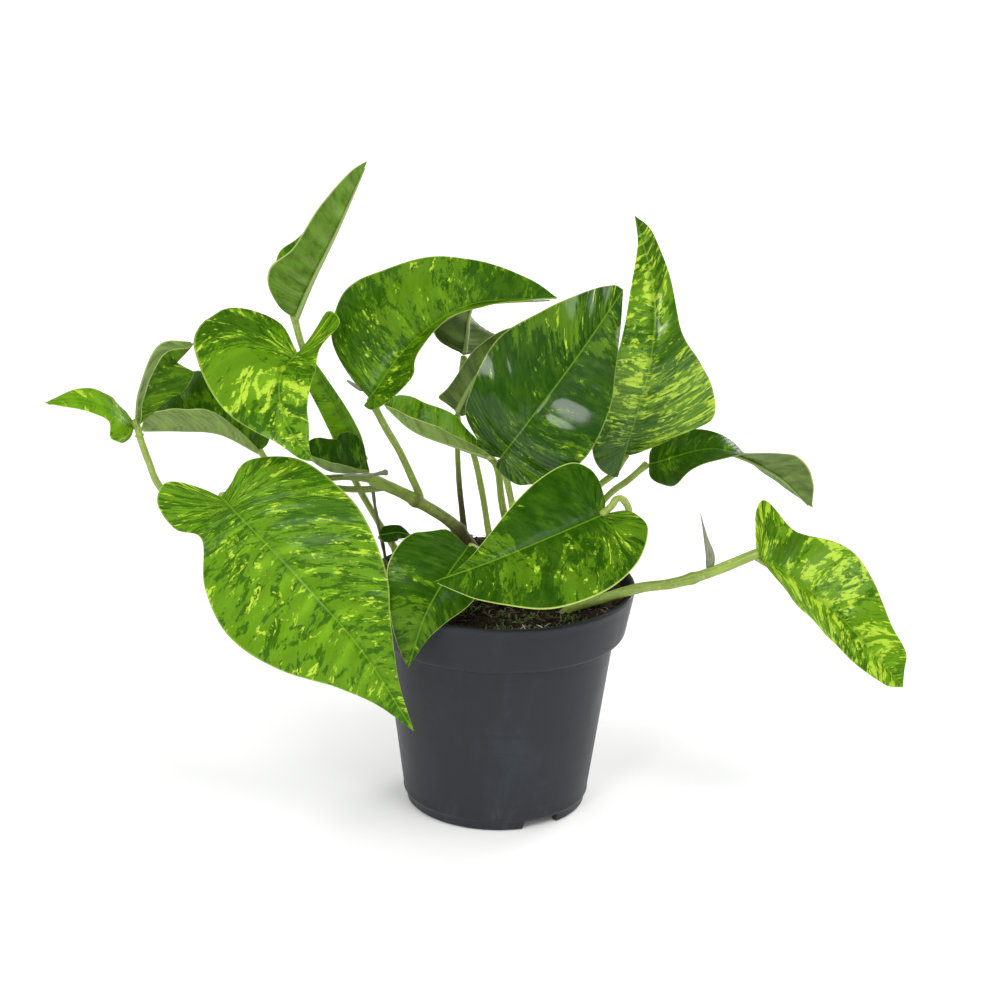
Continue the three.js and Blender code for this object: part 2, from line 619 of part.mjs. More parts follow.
function addPiece(name, geometry, colour, roughness) {
  const mesh = new THREE.Mesh(geometry, material(colour, roughness));
  mesh.name = name;
  plant.add(mesh);
}

addPiece('pot', pot(), COLOURS.pot, 0.5);
addPiece('soil', soil(), COLOURS.soil, 1);
for (const [name, stem] of Object.entries(STEMS)) {
  const colour = DRY_PIECES.includes(name) ? COLOURS.dry : COLOURS.stem;
  addPiece(name, stemGeometry(stem), colour, 0.5);
}
for (const [name, leaf] of Object.entries(LEAVES)) {
  addPiece(name, leafGeometry(leaf), COLOURS.leaf, 0.35);
}

export default plant;
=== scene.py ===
"""A golden pothos in a round nursery pot: glossy marbled heart-shaped leaves on green stalks.

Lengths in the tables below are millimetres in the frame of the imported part, +Z up, with the
origin at the centre of the pot's underside. Everything that is built is in metres.
"""

import math
import random

import bmesh
import bpy
import numpy as np
from mathutils import Matrix, Vector, noise


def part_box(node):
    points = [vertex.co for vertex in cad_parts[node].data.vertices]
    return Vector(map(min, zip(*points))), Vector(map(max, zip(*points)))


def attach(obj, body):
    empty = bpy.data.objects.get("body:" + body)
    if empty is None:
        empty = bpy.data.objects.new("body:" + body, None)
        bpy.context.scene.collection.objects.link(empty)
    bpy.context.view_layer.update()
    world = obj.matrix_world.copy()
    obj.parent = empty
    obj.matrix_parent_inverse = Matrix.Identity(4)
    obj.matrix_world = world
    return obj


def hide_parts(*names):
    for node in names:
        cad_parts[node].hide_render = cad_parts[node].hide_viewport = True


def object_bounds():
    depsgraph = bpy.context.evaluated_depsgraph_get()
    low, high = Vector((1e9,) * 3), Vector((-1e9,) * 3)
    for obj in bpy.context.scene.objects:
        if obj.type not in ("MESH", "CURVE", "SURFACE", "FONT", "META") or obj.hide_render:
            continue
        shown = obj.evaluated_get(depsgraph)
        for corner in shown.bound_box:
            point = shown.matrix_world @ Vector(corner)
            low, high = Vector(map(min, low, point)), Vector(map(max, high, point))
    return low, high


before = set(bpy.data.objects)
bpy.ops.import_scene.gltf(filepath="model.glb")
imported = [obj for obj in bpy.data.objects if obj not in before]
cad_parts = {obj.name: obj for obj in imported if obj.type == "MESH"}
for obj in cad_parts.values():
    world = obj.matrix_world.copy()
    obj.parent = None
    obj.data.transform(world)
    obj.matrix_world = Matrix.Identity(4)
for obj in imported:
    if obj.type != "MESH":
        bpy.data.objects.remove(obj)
CAD_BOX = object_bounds()
POT_LOW, POT_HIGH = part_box("pot")

bl_info = {
    "name": "Potted Golden Pothos",
    "version": (1, 0, 0),
    "blender": (4, 5, 0),
    "location": "View3D > Sidebar > Pothos",
    "description": "Builds the leaves, stalks, soil and pot of a golden pothos",
    "category": "Object",
}

MM = 0.001

# Blades: the vein rows that the outlines are cut into, and how far veins sweep to the tip.
VEIN_ROWS = 10
VEIN_SWEEP = 0.45
MIN_VEIN_PITCH = 0.012
VEIN_BOW = 1.3

# The fine blades, in millimetres: the grid's rows and its steps out from the midrib, the pitch of
# the side veins, and how far the keel's top lies under the blade's middle surface.
BLADE_ROW_PITCH = 1.25
MIN_BLADE_ROWS = 26
BLADE_STEPS = 15
VEIN_PITCH = 6.5
MIN_VEINS = 4
KEEL_DROP = 0.55

# Each leaf: the midrib from the petiole to the tip, which way the upper side faces along it,
# and the left and right outlines as [along, out] pairs, in millimetres along the midrib and
# out from it. A negative "along" is a basal lobe behind the petiole. fold is the angle of each
# half to the flat in degrees, [left, right] at the petiole and then at the tip. curl is how many
# degrees each half turns per centimetre outwards, and bend how a lobe turns per centimetre back.
LEAVES = {
    "leaf_front_left": {
        "midrib": [[-119, -30, 148], [-87, -50, 122], [-58, -64, 94], [-35, -64, 57]],
        "facing": [[-0.2, -0.8, 0.7], [-0.2, -0.85, 0.6], [-0.3, -0.95, 0.3], [-0.3, -0.95, 0.2]],
        "left": [[-1, 7], [-3, 20], [11, 35], [33, 39], [52, 37], [73, 29], [86, 19], [108, 7]],
        "right": [[-9, 4], [-21, 13], [-16, 22], [-2, 24], [9, 19], [25, 32], [47, 38], [74, 31], [99, 17],
                  [115, 7]],
        "fold": [[14, 14], [8, 8]], "curl": [[-6, -3], [-3, -3]], "bend": [-8, -4],
    },
    "leaf_front_centre": {
        "midrib": [[43, -47, 150], [20, -61, 144], [-4, -73, 137], [-27, -79, 130]],
        "facing": [[0, -0.6, 0.8], [0, -0.6, 0.8], [0, -0.55, 0.8], [0, -0.5, 0.8]],
        "left": [[-11, 4], [-12, 15], [2, 29], [20, 35], [42, 34], [59, 23], [71, 11]],
        "right": [[-5, 8], [-7, 22], [4, 29], [27, 23], [51, 10], [68, 2]],
        "fold": [[12, 12], [10, 10]], "curl": [[-4, -6], [-3, -3]], "bend": [-6, -6],
    },
    "leaf_front_small": {
        "midrib": [[-14, -30, 128], [-22, -46, 121], [-31, -58, 107], [-38, -58, 83]],
        "facing": [[0.1, -0.6, 0.8], [0.1, -0.85, 0.5], [0.1, -0.95, 0.1], [0.1, -0.95, 0]],
        "left": [[-1, 3], [7, 11], [26, 15], [43, 9], [53, 4]],
        "right": [[-2, 12], [8, 20], [20, 24], [34, 24], [42, 18], [56, 8]],
        "fold": [[10, 10], [10, 10]], "curl": [[-4, -6], [-3, -3]], "bend": [0, 0],
    },
    "leaf_left_upper": {
        "midrib": [[-89, 0, 204], [-95, -16, 197], [-92, -30, 183], [-79, -40, 168]],
        "facing": [[0, -0.4, 0.9], [-0.1, -0.8, 0.6], [-0.1, -0.95, 0.3], [0.1, -0.95, 0.2]],
        "left": [[-5, 3], [-24, 4], [-20, 12], [-4, 9], [17, 15], [45, 10], [56, 2]],
        "right": [[-2, 2], [-12, 15], [-11, 37], [12, 42], [21, 34], [33, 23], [45, 9], [57, 4]],
        "fold": [[10, 20], [10, 10]], "curl": [[0, -5], [-5, -3]], "bend": [10, -6],
    },
    "leaf_spear": {
        "midrib": [[-91, 14, 216], [-84, 12, 233], [-73, 10, 256], [-60, 8, 286]],
        "facing": [[-1, -0.1, 0.3], [-1, -0.2, 0.4], [-1, -0.2, 0.5], [-1, -0.2, 0.5]],
        "left": [[0, 4], [8, 12], [26, 20], [39, 15], [58, 10], [70, 5]],
        "right": [[0, 2], [7, 11], [27, 24], [39, 18], [58, 14], [72, 6]],
        "fold": [[55, 65], [40, 60]], "curl": [[-5, -3], [-3, -3]], "bend": [0, 0],
    },
    "leaf_top_arch": {
        "midrib": [[-58, 4, 183], [-41, 10, 206], [-16, 6, 225], [22, 2, 230]],
        "facing": [[-0.3, -0.85, 0.5], [-0.2, -0.75, 0.7], [0, -0.6, 0.8], [0, -0.5, 0.9]],
        "left": [[3, 12], [12, 28], [22, 37], [30, 41], [43, 36], [60, 29], [73, 21], [90, 10]],
        "right": [[-4, 0], [1, 12], [31, 27], [52, 17], [68, 15], [82, 11], [94, 6]],
        "fold": [[12, 30], [10, 40]], "curl": [[-5, 8], [-4, 8]], "bend": [-6, 0],
    },
    "leaf_back_centre": {
        "midrib": [[-18, 30, 196], [-17, 38, 204], [-16, 48, 213], [-14, 60, 220]],
        "facing": [[0, 0.8, 0.6], [0, 0.8, 0.6], [0, 0.8, 0.6], [0, 0.8, 0.6]],
        "left": [[4, 5], [12, 14], [24, 16], [34, 8]],
        "right": [[2, 4], [5, 12], [14, 17], [26, 14], [35, 6]],
        "fold": [[16, 16], [10, 10]], "curl": [[-3, -3], [-3, -3]], "bend": [0, 0],
    },
    "leaf_back_folded": {
        "midrib": [[-20, 12, 175], [-11, 18, 191], [0, 24, 200], [13, 30, 206]],
        "facing": [[0.3, 0.8, 0.4], [0.3, 0.8, 0.4], [0.3, 0.8, 0.4], [0.3, 0.8, 0.4]],
        "left": [[0, 3], [7, 8], [17, 13], [33, 15], [45, 8]],
        "right": [[1, 6], [2, 11], [7, 9], [15, 8], [25, 9], [38, 9], [46, 6]],
        "fold": [[16, 16], [10, 10]], "curl": [[-3, -3], [-3, -3]], "bend": [0, 0],
    },
    "leaf_right_glossy": {
        "midrib": [[-1, -11, 162], [11, -17, 181], [30, -9, 206], [50, 7, 233]],
        "facing": [[-0.1, -0.9, 0.2], [-0.05, -0.9, 0.35], [0, -0.85, 0.5], [0, -0.8, 0.6]],
        "left": [[-1, 7], [9, 22], [26, 28], [51, 32], [71, 23], [86, 12], [93, 4]],
        "right": [[-5, 2], [-2, 15], [19, 25], [36, 29], [54, 25], [67, 17], [83, 7]],
        "fold": [[12, 12], [10, 10]], "curl": [[-6, -5], [-3, -3]], "bend": [-6, -6],
    },
    "leaf_centre_narrow": {
        "midrib": [[-5, -8, 162], [-20, -12, 168], [-38, -14, 175], [-51, -12, 185]],
        "facing": [[0, -0.1, 1], [0, -0.1, 1], [0, -0.1, 1], [0, -0.1, 1]],
        "left": [[8, 3], [20, 6], [31, 9], [43, 7], [49, 3]],
        "right": [[7, 5], [16, 10], [25, 14], [43, 12], [51, 7]],
        "fold": [[55, 45], [55, 45]], "curl": [[0, 0], [0, 0]], "bend": [0, 0],
    },
    "leaf_right_tall": {
        "midrib": [[53, 6, 159], [62, -2, 202], [63, 6, 233], [54, 14, 264]],
        "facing": [[0.1, -0.95, 0.3], [0.1, -0.95, 0.25], [0.05, -0.95, 0.2], [0, -0.95, 0.1]],
        "left": [[-11, 0], [-8, 9], [1, 15], [13, 16], [25, 17], [43, 15], [76, 10], [98, 2]],
        "right": [[3, 6], [16, 23], [23, 32], [32, 29], [42, 21], [56, 11], [87, 7], [102, 5]],
        "fold": [[12, 14], [10, 15]], "curl": [[-3, -5], [-3, -5]], "bend": [-4, 0],
    },
    "leaf_right_twisted": {
        "midrib": [[65, 26, 149], [94, 16, 160], [120, 14, 150], [137, 12, 135]],
        "facing": [[0.1, -0.85, 0.5], [0, -0.1, 1], [0.4, 0.6, 0.7], [0.8, 0.4, 0.4]],
        "left": [[2, 6], [9, 11], [16, 13], [30, 13], [48, 13], [68, 9]],
        "right": [[0, 6], [4, 11], [15, 20], [28, 21], [42, 20], [58, 20], [72, 13]],
        "fold": [[10, 10], [10, 10]], "curl": [[-3, -3], [-3, -3]], "bend": [0, 0],
    },
    "leaf_far_right": {
        "midrib": [[111, -12, 121], [130, -20, 111], [151, -28, 95], [176, -28, 67]],
        "facing": [[0.4, -0.6, 0.7], [0.4, -0.7, 0.6], [0.4, -0.75, 0.5], [0.4, -0.8, 0.4]],
        "left": [[-7, 10], [-12, 19], [-10, 26], [11, 20], [35, 27], [54, 23], [70, 15], [80, 12], [84, 6]],
        "right": [[11, 3], [29, 15], [47, 19], [60, 17], [80, 9]],
        "fold": [[14, 30], [10, 20]], "curl": [[-3, 5], [-2, 3]], "bend": [4, 0],
    },
    "leaf_far_left": {
        "midrib": [[-159, -4, 170], [-168, -8, 178], [-181, -10, 183], [-196, -10, 182]],
        "facing": [[0, -0.1, 1], [0, -0.1, 1], [0, -0.2, 1], [0, -0.2, 1]],
        "left": [[1, 7], [6, 14], [12, 15], [14, 6], [22, 5], [32, 4]],
        "right": [[0, 8], [8, 14], [22, 12], [34, 6]],
        "fold": [[-30, 10], [-10, 10]], "curl": [[-3, -3], [-3, -3]], "bend": [-20, 0],
    },
    "leaf_left_upfolded": {
        "midrib": [[-157, -4, 171], [-155, -6, 187], [-147, -4, 206], [-133, 0, 207]],
        "facing": [[1, -0.3, 0], [1, -0.3, -0.1], [0.6, -0.3, -0.8], [0, -0.3, -1]],
        "left": [[6, 6], [14, 9], [24, 10], [36, 9], [46, 6]],
        "right": [[4, 5], [10, 13], [20, 20], [31, 22], [44, 14]],
        "fold": [[30, 40], [30, 40]], "curl": [[0, 0], [0, 0]], "bend": [0, 0],
    },
    "leaf_left_long": {
        "midrib": [[-107, 20, 153], [-124, 18, 162], [-141, 14, 164], [-158, 8, 165]],
        "facing": [[0, -0.1, 1], [0, -0.1, 1], [0, -0.1, 1], [0, -0.1, 1]],
        "left": [[3, 2], [9, 5], [17, 9], [26, 16], [37, 16], [47, 16], [54, 13]],
        "right": [[-2, 5], [0, 11], [11, 17], [20, 23], [27, 28], [38, 24], [47, 14]],
        "fold": [[55, 45], [55, 45]], "curl": [[0, 0], [0, 0]], "bend": [0, 0],
    },
    "leaf_centre_small": {
        "midrib": [[-58, 8, 149], [-69, 6, 149], [-77, 4, 151], [-88, 2, 159]],
        "facing": [[0, -0.1, 1], [0, -0.1, 1], [0, -0.1, 1], [0, -0.1, 1]],
        "left": [[4, 2], [12, 6], [23, 7], [29, 3]],
        "right": [[1, 5], [2, 12], [6, 17], [13, 17], [29, 11], [33, 5]],
        "fold": [[48, 58], [48, 58]], "curl": [[0, 0], [0, 0]], "bend": [0, 0],
    },
    "leaf_tiny": {
        "midrib": [[-54, 14, 117], [-50, 16, 117], [-46, 18, 117], [-40, 18, 116]],
        "facing": [[0, -0.5, 0.85], [0, -0.5, 0.85], [0, -0.5, 0.85], [0, -0.5, 0.85]],
        "left": [[4, 4], [10, 4], [12, 3]],
        "right": [[0, 5], [6, 6], [13, 3]],
        "fold": [[12, 12], [10, 10]], "curl": [[-4, -4], [-3, -3]], "bend": [0, 0],
    },
    "leaf_sheath": {
        "midrib": [[-61, 18, 150], [-67, 18, 164], [-74, 17, 178], [-84, 14, 196]],
        "facing": [[-0.4, -0.8, 0.3], [-0.4, -0.8, 0.3], [-0.4, -0.8, 0.3], [-0.4, -0.8, 0.3]],
        "left": [[3, 3], [15, 8], [34, 8], [50, 6]],
        "right": [[4, 3], [15, 5], [34, 4], [52, 2]],
        "fold": [[20, 20], [20, 20]], "curl": [[6, 6], [6, 6]], "bend": [0, 0],
    },
}

# Each stem: its route, its radius, and whether its end stands in the soil.
STEMS = {
    "vine_main": {
        "radius": 2.4, "rooted": True,
        "route": [[-7, 26, 90], [-9, 26, 102], [-15, 22, 113], [-23, 18, 123], [-36, 16, 132],
            [-46, 14, 138], [-56, 12, 143]],
    },
    "vine_runner": {
        "radius": 1.4, "rooted": True,
        "route": [[-157, -4, 168], [-156, -4, 164], [-153, -4, 155], [-148, -6, 144], [-135, -4, 128],
            [-114, 0, 116], [-84, 6, 108], [-58, 10, 107], [-44, 12, 99], [-41, 12, 86]],
    },
    "petiole_front_left": {
        "radius": 1.6, "rooted": False,
        "route": [[-118, -28, 148], [-112, -18, 147], [-92, 2, 145], [-71, 10, 145], [-60, 12, 144]],
    },
    "petiole_front_centre": {
        "radius": 1.6, "rooted": True,
        "route": [[46, -45, 153], [48, -42, 155], [51, -39, 154], [54, -35, 147], [53, -28, 133],
            [45, -18, 112], [38, -12, 93]],
    },
    "petiole_front_small": {
        "radius": 1.5, "rooted": True,
        "route": [[-12, -27, 127], [-10, -22, 124], [-7, -16, 116], [-4, -12, 102], [-3, -12, 92]],
    },
    "petiole_spear": {
        "radius": 1.7, "rooted": True,
        "route": [[-91, 15, 215], [-88, 16, 203], [-80, 22, 176], [-67, 26, 142], [-54, 28, 117],
            [-47, 28, 105], [-43, 27, 91]],
    },
    "petiole_top_arch": {
        "radius": 1.8, "rooted": False,
        "route": [[-57, 6, 181], [-51, 10, 168], [-45, 14, 156], [-39, 16, 142], [-37, 17, 137]],
    },
    "petiole_back_centre": {
        "radius": 1.4, "rooted": True,
        "route": [[-18, 29, 194], [-19, 30, 187], [-20, 30, 171], [-20, 28, 155], [-19, 30, 137],
            [-17, 34, 118], [-15, 34, 101]],
    },
    "petiole_right_glossy": {
        "radius": 1.7, "rooted": True,
        "route": [[0, -8, 159], [2, -8, 152], [5, -6, 138], [9, -4, 118], [12, -4, 95]],
    },
    "petiole_back_folded": {
        "radius": 1.6, "rooted": True,
        "route": [[-20, 13, 172], [-18, 14, 165], [-13, 16, 156], [-9, 18, 139], [-6, 18, 122],
            [-4, 16, 111], [-3, 14, 97]],
    },
    "petiole_centre_narrow": {
        "radius": 1.7, "rooted": True,
        "route": [[-5, -8, 161], [-2, -4, 155], [0, 4, 138], [3, 10, 120], [5, 8, 99]],
    },
    "petiole_right_tall": {
        "radius": 1.7, "rooted": True,
        "route": [[53, 10, 157], [49, 12, 149], [41, 11, 142], [26, 8, 126], [20, 4, 111], [18, 2, 93]],
    },
    "petiole_right_twisted": {
        "radius": 1.6, "rooted": True,
        "route": [[63, 26, 148], [56, 24, 142], [47, 22, 135], [35, 20, 119], [29, 18, 106], [27, 16, 91]],
    },
    "vine_far_right": {
        "radius": 2.1, "rooted": True,
        "route": [[25, -26, 93], [31, -24, 99], [44, -20, 102], [61, -16, 106], [75, -15, 108],
            [91, -14, 113], [110, -12, 121]],
    },
    "petiole_left_long": {
        "radius": 1.5, "rooted": False,
        "route": [[-106, 20, 152], [-103, 20, 148], [-94, 20, 141], [-76, 20, 137], [-61, 18, 137]],
    },
    "petiole_tiny": {
        "radius": 1.0, "rooted": True,
        "route": [[-48, 14, 114], [-47, 15, 109], [-44, 18, 102], [-41, 20, 88]],
    },
    "root_aerial": {
        "radius": 0.8, "rooted": True,
        "route": [[-57, 18, 137], [-56, 20, 128], [-54, 20, 117], [-52, 20, 108], [-50, 20, 95]],
    },
    "bract_spike": {
        "radius": 0.8, "rooted": False,
        "route": [[91, -12, 115], [91, -12, 120], [89, -11, 127], [86, -10, 139]],
    },
    "stem_stub": {
        "radius": 0.9, "rooted": False,
        "route": [[-67, -6, 151], [-59, -5, 151], [-50, 0, 151]],
    },
    "bract_small": {
        "radius": 0.6, "rooted": False,
        "route": [[-66, 0, 191], [-63, 0, 189], [-61, 1, 187]],
    },
}


# How each blade is coloured and shaped in detail. light is how much of it is lime marbling,
# bright how much of that turns yellow, dark how many deep green patches it has, tone how
# light its plain green is, under how pale and grey the underside is, wave how far the edge
# ripples in millimetres. spots add or take marbling around a place: [along, out, spread,
# strength], with out negative on the left half.
FINISH = {
    "leaf_front_left": {
        "light": 0.66, "bright": 0.5, "dark": 0.56, "tone": 0.55, "under": 0.4, "wave": 0.8, "seed": 1.0,
        "spots": [[70, 14, 16, 0.12], [30, -32, 12, -0.12], [45, 26, 9, 0.14], [2, 16, 10, -0.12],
                  [80, -14, 9, -0.1]],
    },
    "leaf_front_centre": {
        "light": 0.34, "bright": 0.46, "dark": 0.45, "tone": 0.2, "under": 0.3, "wave": 0.6, "seed": 2.3,
        "margin": 0.95,
        "spots": [[28, -26, 11, 0.2], [-8, -12, 9, 0.22], [50, -14, 9, 0.08], [10, 16, 12, -0.16],
                  [35, 8, 9, -0.1]],
    },
    "leaf_front_small": {
        "light": 0.2, "bright": 0.3, "dark": 0.15, "tone": 0.2, "under": 0.3, "wave": 0.4, "seed": 3.1,
        "margin": 0.8,
        "spots": [[50, 3, 9, 0.2], [36, 20, 7, 0.12]],
    },
    "leaf_left_upper": {
        "light": 0.6, "bright": 0.6, "dark": 0.55, "tone": 0.5, "under": 0.45, "wave": 0.5, "seed": 4.7,
        "spots": [[32, 14, 14, 0.2], [-6, 30, 14, -0.12], [44, -6, 8, 0.15]],
    },
    "leaf_spear": {
        "light": 0.4, "bright": 0.2, "dark": 0.2, "tone": 0.5, "under": 0.6, "lush": 0.75, "wave": 0.3,
        "seed": 5.2, "spots": [],
    },
    "leaf_top_arch": {
        "light": 0.52, "bright": 0.45, "dark": 0.52, "tone": 0.35, "under": 0.4, "wave": 0.6, "seed": 6.9,
        "spots": [[40, -12, 10, 0.12], [20, -30, 10, -0.1], [80, -8, 10, -0.12], [60, -22, 8, 0.1]],
    },
    # Sits behind the front leaves: its very low under paints their shade into its underside as painted shade.
    "leaf_back_centre": {
        "light": 0.3, "bright": 0.2, "dark": 0.3, "tone": 0.3, "under": 0.05, "wave": 0.3, "seed": 7.4,
        "spots": [],
    },
    # Sits in shade behind leaf_right_glossy: its low under paints that shade into its underside as painted
    # shade.
    "leaf_back_folded": {
        "light": 0.35, "bright": 0.2, "dark": 0.3, "tone": 0.3, "under": 0.12, "wave": 0.3, "seed": 8.8,
        "spots": [],
    },
    "leaf_right_glossy": {
        "light": 0.3, "bright": 0.45, "dark": 0.3, "tone": 0.12, "under": 0.3, "wave": 0.5, "seed": 9.5,
        "gloss": 0.42, "rough": 0.3,
        "spots": [[72, -14, 12, 0.2], [8, 14, 9, 0.18], [35, 14, 11, 0.08], [40, -18, 14, -0.1],
                  [18, 20, 7, -0.12]],
    },
    "leaf_centre_narrow": {
        "light": 0.5, "bright": 0.3, "dark": 0.2, "tone": 0.4, "under": 0.75, "wave": 0.3, "seed": 10.1,
        "spots": [],
    },
    "leaf_right_tall": {
        "light": 0.5, "bright": 0.74, "dark": 0.3, "tone": 0.4, "under": 0.8, "wave": 0.5, "seed": 11.6,
        "gloss": 0.45, "rough": 0.18,
        "spots": [[62, -9, 9, 0.24], [30, -12, 8, 0.24], [20, 26, 9, 0.2], [50, -3, 9, -0.1],
                  [-8, -6, 9, -0.4]],
    },
    "leaf_right_twisted": {
        "light": 0.3, "bright": 0.2, "dark": 0.3, "tone": 0.25, "under": 0.5, "wave": 0.4, "seed": 12.2,
        "spots": [],
    },
    "leaf_far_right": {
        "light": 0.62, "bright": 0.74, "dark": 0.35, "tone": 0.6, "under": 0.7, "wave": 0.5, "seed": 13.9,
        "spots": [[30, 12, 12, 0.14], [64, -12, 10, 0.1], [0, -18, 8, -0.08]],
    },
    "leaf_far_left": {
        "light": 0.7, "bright": 0.5, "dark": 0.1, "tone": 0.8, "under": 0.85, "wave": 0.3, "seed": 14.3,
        "spots": [],
    },
    "leaf_left_upfolded": {
        "light": 0.5, "bright": 0.45, "dark": 0.4, "tone": 0.5, "under": 0.35, "wave": 0.3, "seed": 15.8,
        "spots": [],
    },
    "leaf_left_long": {
        "light": 0.4, "bright": 0.3, "dark": 0.3, "tone": 0.35, "under": 0.85, "wave": 0.3, "seed": 16.6,
        "spots": [],
    },
    "leaf_centre_small": {
        "light": 0.38, "bright": 0.25, "dark": 0.25, "tone": 0.12, "under": 0.8, "wave": 0.3, "seed": 17.1,
        "spots": [],
    },
    "leaf_tiny": {
        "light": 0.1, "bright": 0.0, "dark": 0.2, "tone": 0.0, "under": 0.2, "wave": 0.1, "seed": 18.5,
        "spots": [],
    },
    "leaf_sheath": {
        "light": 0.8, "bright": 0.0, "dark": 0.3, "tone": 0.9, "under": 0.7, "wave": 0.2, "seed": 19.4,
        "spots": [],
    },
}

# Stems: where along each one a joint swells, and how brown it is at [share of the route].
STEM_LOOK = {
    "vine_main": {"joints": [0.42, 0.7], "brown": [[0, 1], [0.35, 0.9], [0.6, 0.45], [1, 0.2]]},
    "vine_runner": {"from": [[-158, -4.5, 172]], "joints": [0.03, 0.14],
                    "brown": [[0, 0], [0.25, 0.1], [0.5, 0.5], [1, 0.9]]},
    "vine_far_right": {"joints": [0.76], "brown": [[0, 0.5], [0.2, 0.12], [1, 0]]},
    "petiole_front_centre": {"from": [[43, -46.5, 150.5]]},
    "petiole_back_centre": {"brown": [[0, 0], [0.5, 0.3], [0.75, 0.85], [1, 1]]},
    "petiole_spear": {"brown": [[0, 0], [0.7, 0.2], [1, 0.7]]},
    "petiole_front_left": {"brown": [[0, 0.2], [0.5, 0.35], [1, 0.4]], "to": [[-54, 12, 142]]},
    "petiole_left_long": {"brown": [[0, 0.2], [1, 0.5]], "to": [[-50, 14, 140]]},
    "petiole_top_arch": {"to": [[-36, 16.5, 133]]},
}
PLAIN_STEM = {"joints": [], "brown": [[0, 0], [0.7, 0.05], [1, 0.35]], "from": [], "to": []}
DRY_PIECES = ("bract_spike", "bract_small", "stem_stub", "root_aerial")


# ---------- settings ----------


class PothosPotSettings(bpy.types.PropertyGroup):
    """Sizes and colour of the nursery pot."""

    rim_radius: bpy.props.FloatProperty(
        name="Rim radius", description="Outside radius of the pot at its rim",
        default=(POT_HIGH.x - POT_LOW.x) / 2, min=0.02, unit="LENGTH",
    )
    height: bpy.props.FloatProperty(
        name="Height", description="Height of the pot from its foot to its rim",
        default=POT_HIGH.z, min=0.02, unit="LENGTH",
    )
    segments: bpy.props.IntProperty(
        name="Segments", description="Facets around the pot", default=144, min=32, max=256,
    )
    plastic: bpy.props.FloatVectorProperty(
        name="Plastic", description="Colour of the moulded plastic",
        default=(0.029, 0.032, 0.038), size=3, subtype="COLOR", min=0, max=1,
    )


class PothosSoilSettings(bpy.types.PropertyGroup):
    """How rough the peat is and what lies on it."""

    roughness: bpy.props.FloatProperty(
        name="Roughness", description="Height of the lumps in the peat", default=0.0022, min=0,
        unit="LENGTH",
    )
    crumbs: bpy.props.IntProperty(
        name="Crumbs", description="Loose crumbs of peat on the soil", default=900, min=0, max=2000,
    )
    fibres: bpy.props.IntProperty(
        name="Fibres", description="Loose fibres lying on the soil", default=380, min=0, max=600,
    )
    moss: bpy.props.IntProperty(
        name="Moss", description="Leaflets of moss on the soil", default=520, min=0, max=1200,
    )
    peat: bpy.props.FloatVectorProperty(
        name="Peat", description="Colour of damp peat",
        default=(0.020, 0.013, 0.007), size=3, subtype="COLOR", min=0, max=1,
    )


class PothosLeafSettings(bpy.types.PropertyGroup):
    """Thickness and colours shared by all the leaves."""

    thickness: bpy.props.FloatProperty(
        name="Thickness", description="Thickness of a blade", default=0.0005, min=0.0002, unit="LENGTH",
    )
    quilting: bpy.props.FloatProperty(
        name="Quilting", description="How far a blade swells up between two veins",
        default=0.0006, min=0, unit="LENGTH",
    )
    deep_green: bpy.props.FloatVectorProperty(
        name="Deep green", description="Darkest green of the upper side",
        default=(0.014, 0.061, 0.0003), size=3, subtype="COLOR", min=0, max=1,
    )
    leaf_green: bpy.props.FloatVectorProperty(
        name="Leaf green", description="Plain green of a light leaf",
        default=(0.098, 0.236, 0.004), size=3, subtype="COLOR", min=0, max=1,
    )
    lime: bpy.props.FloatVectorProperty(
        name="Lime", description="Colour of the marbling",
        default=(0.190, 0.405, 0.008), size=3, subtype="COLOR", min=0, max=1,
    )
    yellow: bpy.props.FloatVectorProperty(
        name="Yellow", description="Brightest flecks of the marbling",
        default=(0.450, 0.650, 0.045), size=3, subtype="COLOR", min=0, max=1,
    )
    underside: bpy.props.FloatVectorProperty(
        name="Underside", description="Colour of a pale underside",
        default=(0.300, 0.420, 0.110), size=3, subtype="COLOR", min=0, max=1,
    )


class PothosStemSettings(bpy.types.PropertyGroup):
    """Colours and facets of stalks, vines and roots."""

    sides: bpy.props.IntProperty(
        name="Sides", description="Facets around a stalk", default=14, min=6, max=32,
    )
    green: bpy.props.FloatVectorProperty(
        name="Green", description="Colour of a young stalk",
        default=(0.330, 0.455, 0.085), size=3, subtype="COLOR", min=0, max=1,
    )
    brown: bpy.props.FloatVectorProperty(
        name="Brown", description="Colour of old vine near the soil",
        default=(0.085, 0.075, 0.026), size=3, subtype="COLOR", min=0, max=1,
    )
    dry: bpy.props.FloatVectorProperty(
        name="Dry", description="Colour of dry bracts and stubs",
        default=(0.300, 0.330, 0.200), size=3, subtype="COLOR", min=0, max=1,
    )


class PothosStudioSettings(bpy.types.PropertyGroup):
    """The floor, the lights and the camera."""

    floor: bpy.props.FloatVectorProperty(
        name="Floor", description="Colour of the floor", default=(0.93, 0.93, 0.93), size=3,
        subtype="COLOR", min=0, max=1,
    )
    glow: bpy.props.FloatProperty(
        name="Glow", description="Light that the lit floor table gives off", default=0.06, min=0,
    )
    key: bpy.props.FloatProperty(
        name="Key light", description="Strength of the soft light from the upper right", default=1.15,
        min=0,
    )
    fill: bpy.props.FloatProperty(
        name="Fill light", description="Strength of the soft light from the upper left", default=0.5, min=0,
    )
    front: bpy.props.FloatProperty(
        name="Front panel", description="Power of the panel that the glossy leaves mirror", default=5.5,
        min=0,
    )
    rim: bpy.props.FloatProperty(
        name="Rim panel", description="Power of the panel behind on the right", default=14.0, min=0,
    )
    surroundings: bpy.props.FloatProperty(
        name="Surroundings", description="Brightness of the white room", default=0.72, min=0,
    )
    lens: bpy.props.FloatProperty(
        name="Lens", description="Focal length in millimetres", default=99.18, min=10,
    )


# ---------- shader helpers ----------


